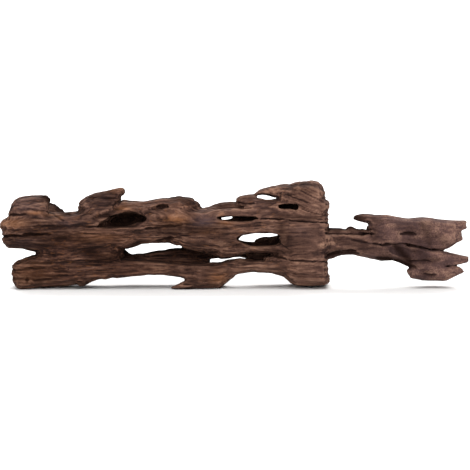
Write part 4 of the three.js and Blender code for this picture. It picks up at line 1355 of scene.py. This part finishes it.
@dataclass
class Fork:
    """Parts the grown root into its trunk and two prongs, along the lines that the solids part on.

    Attributes:
        fork_x: Where the neck divides, from the left tip, in millimetres.
        hook_x: How far left the upper prong's hook reaches.
        hook_floor: The height over which wood there is the hook's.
        split_face: The depth where the prongs' split meets the front.
        split_rise: How much the split climbs towards the back.
        split_line: The line where the split meets the front, as (distance, height).
        limbs: The trunk, the upper prong and the lower prong.
    """

    fork_x: float = 368.5
    hook_x: float = 350.0
    hook_floor: float = 63.0
    split_face: float = -22.0
    split_rise: float = 0.05
    split_line: Path = (
        (367.5, 43.8), (374, 43), (382, 42), (391, 42.4), (399, 43.6), (406, 42.9), (414, 40.3),
        (429, 37.6), (442, 36.2), (447, 34.8), (470, 34),
    )
    limbs: tuple[Limb, ...] = (
        Limb("trunk", "trunk_wood"), Limb("upper_prong", "prong_wood"),
        Limb("lower_prong", "prong_wood"),
    )

    def owners(self, centres: Array) -> Array:
        """Says which limb each face belongs to.

        Args:
            centres: The faces' centres in metres.

        Returns:
            The place of each face's limb in the list of limbs.
        """
        x = (centres[:, 0] - LEFT_TIP) / MM
        depth = (centres[:, 1] - MIDDLE_PLANE) / MM
        height = centres[:, 2] / MM
        prong = (x > self.fork_x) | ((x > self.hook_x) & (height > self.hook_floor))
        line = np.interp(x, *np.array(self.split_line).T)
        sheet = line - self.split_face * (SIGHT_FALL + self.split_rise) + self.split_rise * depth
        upper = (height > sheet) | ((x < self.fork_x) & prong)
        return np.where(prong, np.where(upper, 1, 2), 0)

    def paths(self, pairs: Array) -> list[list[int]]:
        """Strings edges into paths that end where three limbs meet, or close on themselves.

        Args:
            pairs: Directed edges as rows of two vertices.

        Returns:
            Lists of vertices in order.
        """
        after = {}
        for a, b in pairs.tolist():
            after.setdefault(a, []).append(b)
        ends = {b for _, b in pairs.tolist()}
        strings = []
        for start in [a for a in after if a not in ends] + list(after):
            while after.get(start):
                string = [start]
                while after.get(string[-1]):
                    string.append(after[string[-1]].pop())
                strings.append(string)
        return strings

    def join_strays(self, owner: Array, first: Array, second: Array) -> Array:
        """Gives a face that stands alone among another limb's faces to that limb.

        Args:
            owner: The place of each face's limb in the list of limbs.
            first: The face on one side of each edge.
            second: The face on its other side.

        Returns:
            The owners without such faces.
        """
        same = owner[first] == owner[second]
        friends = np.bincount(first[same], minlength=len(owner))
        friends += np.bincount(second[same], minlength=len(owner))
        joined = owner.copy()
        for face in np.flatnonzero(friends == 0):
            beside = np.concatenate([second[first == face], first[second == face]])
            joined[face] = owner[beside[0]]
        return joined

    def cut(self, root: Mesh, faces: Array) -> tuple[list[Array], list[list[int]]]:
        """Shares the faces out, and closes each limb with a fan of triangles inside the wood.

        Args:
            root: The whole root as one closed mesh.
            faces: The vertices of its triangles.

        Returns:
            The triangles of each limb, and the rim of each cut; the middle of the first rim is
            the vertex after the root's last, and so on.
        """
        begin, end = faces.ravel(), np.roll(faces, -1, axis=1).ravel()
        count, sides = len(root.vertices), faces.shape[1]
        key = np.minimum(begin, end).astype(np.int64) * count + np.maximum(begin, end)
        order = np.argsort(key, kind="stable")
        first, second = order[0::2], order[1::2]
        owner = self.owners(fetch(root.polygons, "center", 3).astype(float))
        owner = self.join_strays(owner, first // sides, second // sides)
        keeper = np.repeat(owner, sides)
        rims, caps = [], [[] for _ in self.limbs]
        for a, b in combinations(range(len(self.limbs)), 2):
            mine = np.where(keeper[first] == a, first, second)
            other = np.where(keeper[first] == a, second, first)
            chosen = mine[(keeper[mine] == a) & (keeper[other] == b)]
            for string in self.paths(np.stack([begin[chosen], end[chosen]], axis=1)):
                rim = string if string[0] != string[-1] else string[:-1]
                middle = count + len(rims)
                rims.append(rim)
                for u, v in zip(rim, rim[1:] + rim[:1]):
                    caps[a].append((v, u, middle))
                    caps[b].append((u, v, middle))
                limbs = (self.limbs[a].node, self.limbs[b].node)
                log.info("cap between %s and %s: %d edges", *limbs, len(rim))
        shares = [np.concatenate([faces[owner == i], np.array(cap)]) for i, cap in enumerate(caps)]
        return shares, rims

    def part(self, root: Mesh, material: bpy.types.Material) -> list[Body]:
        """Parts the root into its limbs.

        Args:
            root: The whole root as one closed mesh of triangles.
            material: The wood that covers each piece.

        Returns:
            One object for each limb.
        """
        corners = fetch(root.loops, "vertex_index", 1, np.int32)
        shares, rims = self.cut(root, corners.reshape(-1, 3))
        skin = Skin(root)
        values = {name: skin.read(name, 1) for name in ("cut", "hollow", "worn", "sheltered")}
        values |= {tone.value: skin.read(tone.value, 1) for tone in Tone}
        values |= {"grain": skin.read("grain", 3), "normals": skin.normals(), "points": skin.points}
        for name, array in values.items():
            middles = [array[rim].mean(axis=0, keepdims=True) for rim in rims]
            values[name] = np.concatenate([array, *middles])
        points, outward = values.pop("points"), values.pop("normals")
        pieces = []
        for limb, faces in zip(self.limbs, shares):
            used, corners = np.unique(faces, return_inverse=True)
            mesh = bpy.data.meshes.new(limb.node + "_wood")
            mesh.from_pydata(points[used].tolist(), [], corners.reshape(-1, 3).tolist())
            mesh.shade_smooth()
            piece_skin = Skin(mesh)
            for name, array in values.items():
                piece_skin.write(name, array[used])
            mesh.normals_split_custom_set_from_vertices(outward[used].tolist())
            mesh.materials.append(material)
            piece = place_object(limb.node + "_wood", mesh)
            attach(piece, "root")
            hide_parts(limb.node)
            pieces.append(piece)
            log.info("%s: %d triangles", piece.name, len(faces))
        return pieces


@dataclass(frozen=True)
class SoftLight:
    """One square soft light.

    Attributes:
        name: The light's name.
        place: Its middle, in metres.
        target: The point that it faces.
        size: Its side.
        power: Its power in watts.
    """

    name: str
    place: Triple
    target: Triple
    size: float
    power: float

    def hang(self) -> None:
        """Hangs the light in the scene."""
        data = bpy.data.lights.new(self.name, "AREA")
        data.shape = "SQUARE"
        data.size = self.size
        data.energy = self.power
        lamp = place_object(self.name, data)
        lamp.location = self.place
        aim = Vector(self.target) - Vector(self.place)
        lamp.rotation_euler = aim.to_track_quat("-Z", "Y").to_euler()


@dataclass
class Studio:
    """A pale floor, soft light and a long lens at the photograph's angle.

    Attributes:
        distance: From the camera to the root, in metres.
        frame_width: The width that the picture takes in at the root.
        aim_height: The height at the middle of the picture.
        elevation: The camera's angle above the horizon, in degrees.
        sensor: The width of the camera's sensor, in millimetres.
        sight: How far the camera sees, in metres.
        floor_size: The side of the floor.
        floor_colour: Matt white paper, which shows a soft shadow and no gloss.
        sky_strength: How bright the light from all round is.
        lights: The lights over the viewer's right and left, and one that whitens the background.
    """

    distance: float = 5.0
    frame_width: float = 0.470
    aim_height: float = 0.0523
    elevation: float = 6.0
    sensor: float = 36.0
    sight: float = 100.0
    floor_size: float = 60.0
    floor_colour: str = "#f7f6f5"
    sky_strength: float = 0.55
    lights: tuple[SoftLight, ...] = (
        SoftLight("key", (0.45, -2.1, 2.2), (0.0, 0.0, 0.05), 2.2, 70.0),
        SoftLight("fill", (-0.4, -2.9, 1.0), (0.0, 0.0, 0.05), 1.4, 40.0),
        SoftLight("backdrop", (0.0, 3.6, 3.2), (0.0, 3.8, 0.0), 4.0, 420.0),
    )

    def lay_floor(self) -> None:
        """Lays the floor under the root."""
        half = self.floor_size / 2
        corners = [(-half, -half, 0), (half, -half, 0), (half, half, 0), (-half, half, 0)]
        mesh = bpy.data.meshes.new("floor")
        mesh.from_pydata(corners, [], [(0, 1, 2, 3)])
        paper = bpy.data.materials.new("matt_white_paper")
        paper.use_nodes = True
        shader = paper.node_tree.nodes["Principled BSDF"]
        shader.inputs["Base Color"].default_value = linear(self.floor_colour)
        shader.inputs["Roughness"].default_value = 1.0
        shader.inputs["Specular IOR Level"].default_value = 0.0
        mesh.materials.append(paper)
        floor = place_object("floor", mesh)

    def set_sky(self) -> None:
        """Lights the scene softly from all round, and keeps its colours as they are."""
        world = bpy.data.worlds.new("studio")
        world.use_nodes = True
        sky = world.node_tree.nodes["Background"].inputs
        sky["Color"].default_value = (1.0, 1.0, 1.0, 1.0)
        sky["Strength"].default_value = self.sky_strength
        bpy.context.scene.world = world
        bpy.context.scene.view_settings.view_transform = "Standard"

    def set_camera(self) -> None:
        """Sets the camera that takes the picture."""
        data = bpy.data.cameras.new("camera")
        data.sensor_width = self.sensor
        data.lens = self.sensor * self.distance / self.frame_width
        data.clip_end = self.sight
        camera = place_object("camera", data)
        angle = math.radians(self.elevation)
        aim = Vector((0.0, MIDDLE_PLANE, self.aim_height))
        camera.location = aim + self.distance * Vector((0.0, -math.cos(angle), math.sin(angle)))
        camera.rotation_euler = (math.pi / 2 - angle, 0.0, 0.0)
        bpy.context.scene.camera = camera

    def build(self) -> None:
        """Sets the whole studio."""
        self.lay_floor()
        self.set_sky()
        for light in self.lights:
            light.hang()
        self.set_camera()


def main() -> None:
    """Builds the studio and the root, and reports each piece."""
    logging.basicConfig(level=logging.INFO, format="%(message)s")
    Studio().build()
    wood = WeatheredRootWood("weathered_root_wood").build()
    root = GrownRoot().build(wood)
    for piece in Fork().part(root, wood):
        log.info("%s is in place", piece.name)


if __name__ == "__main__":
    main()
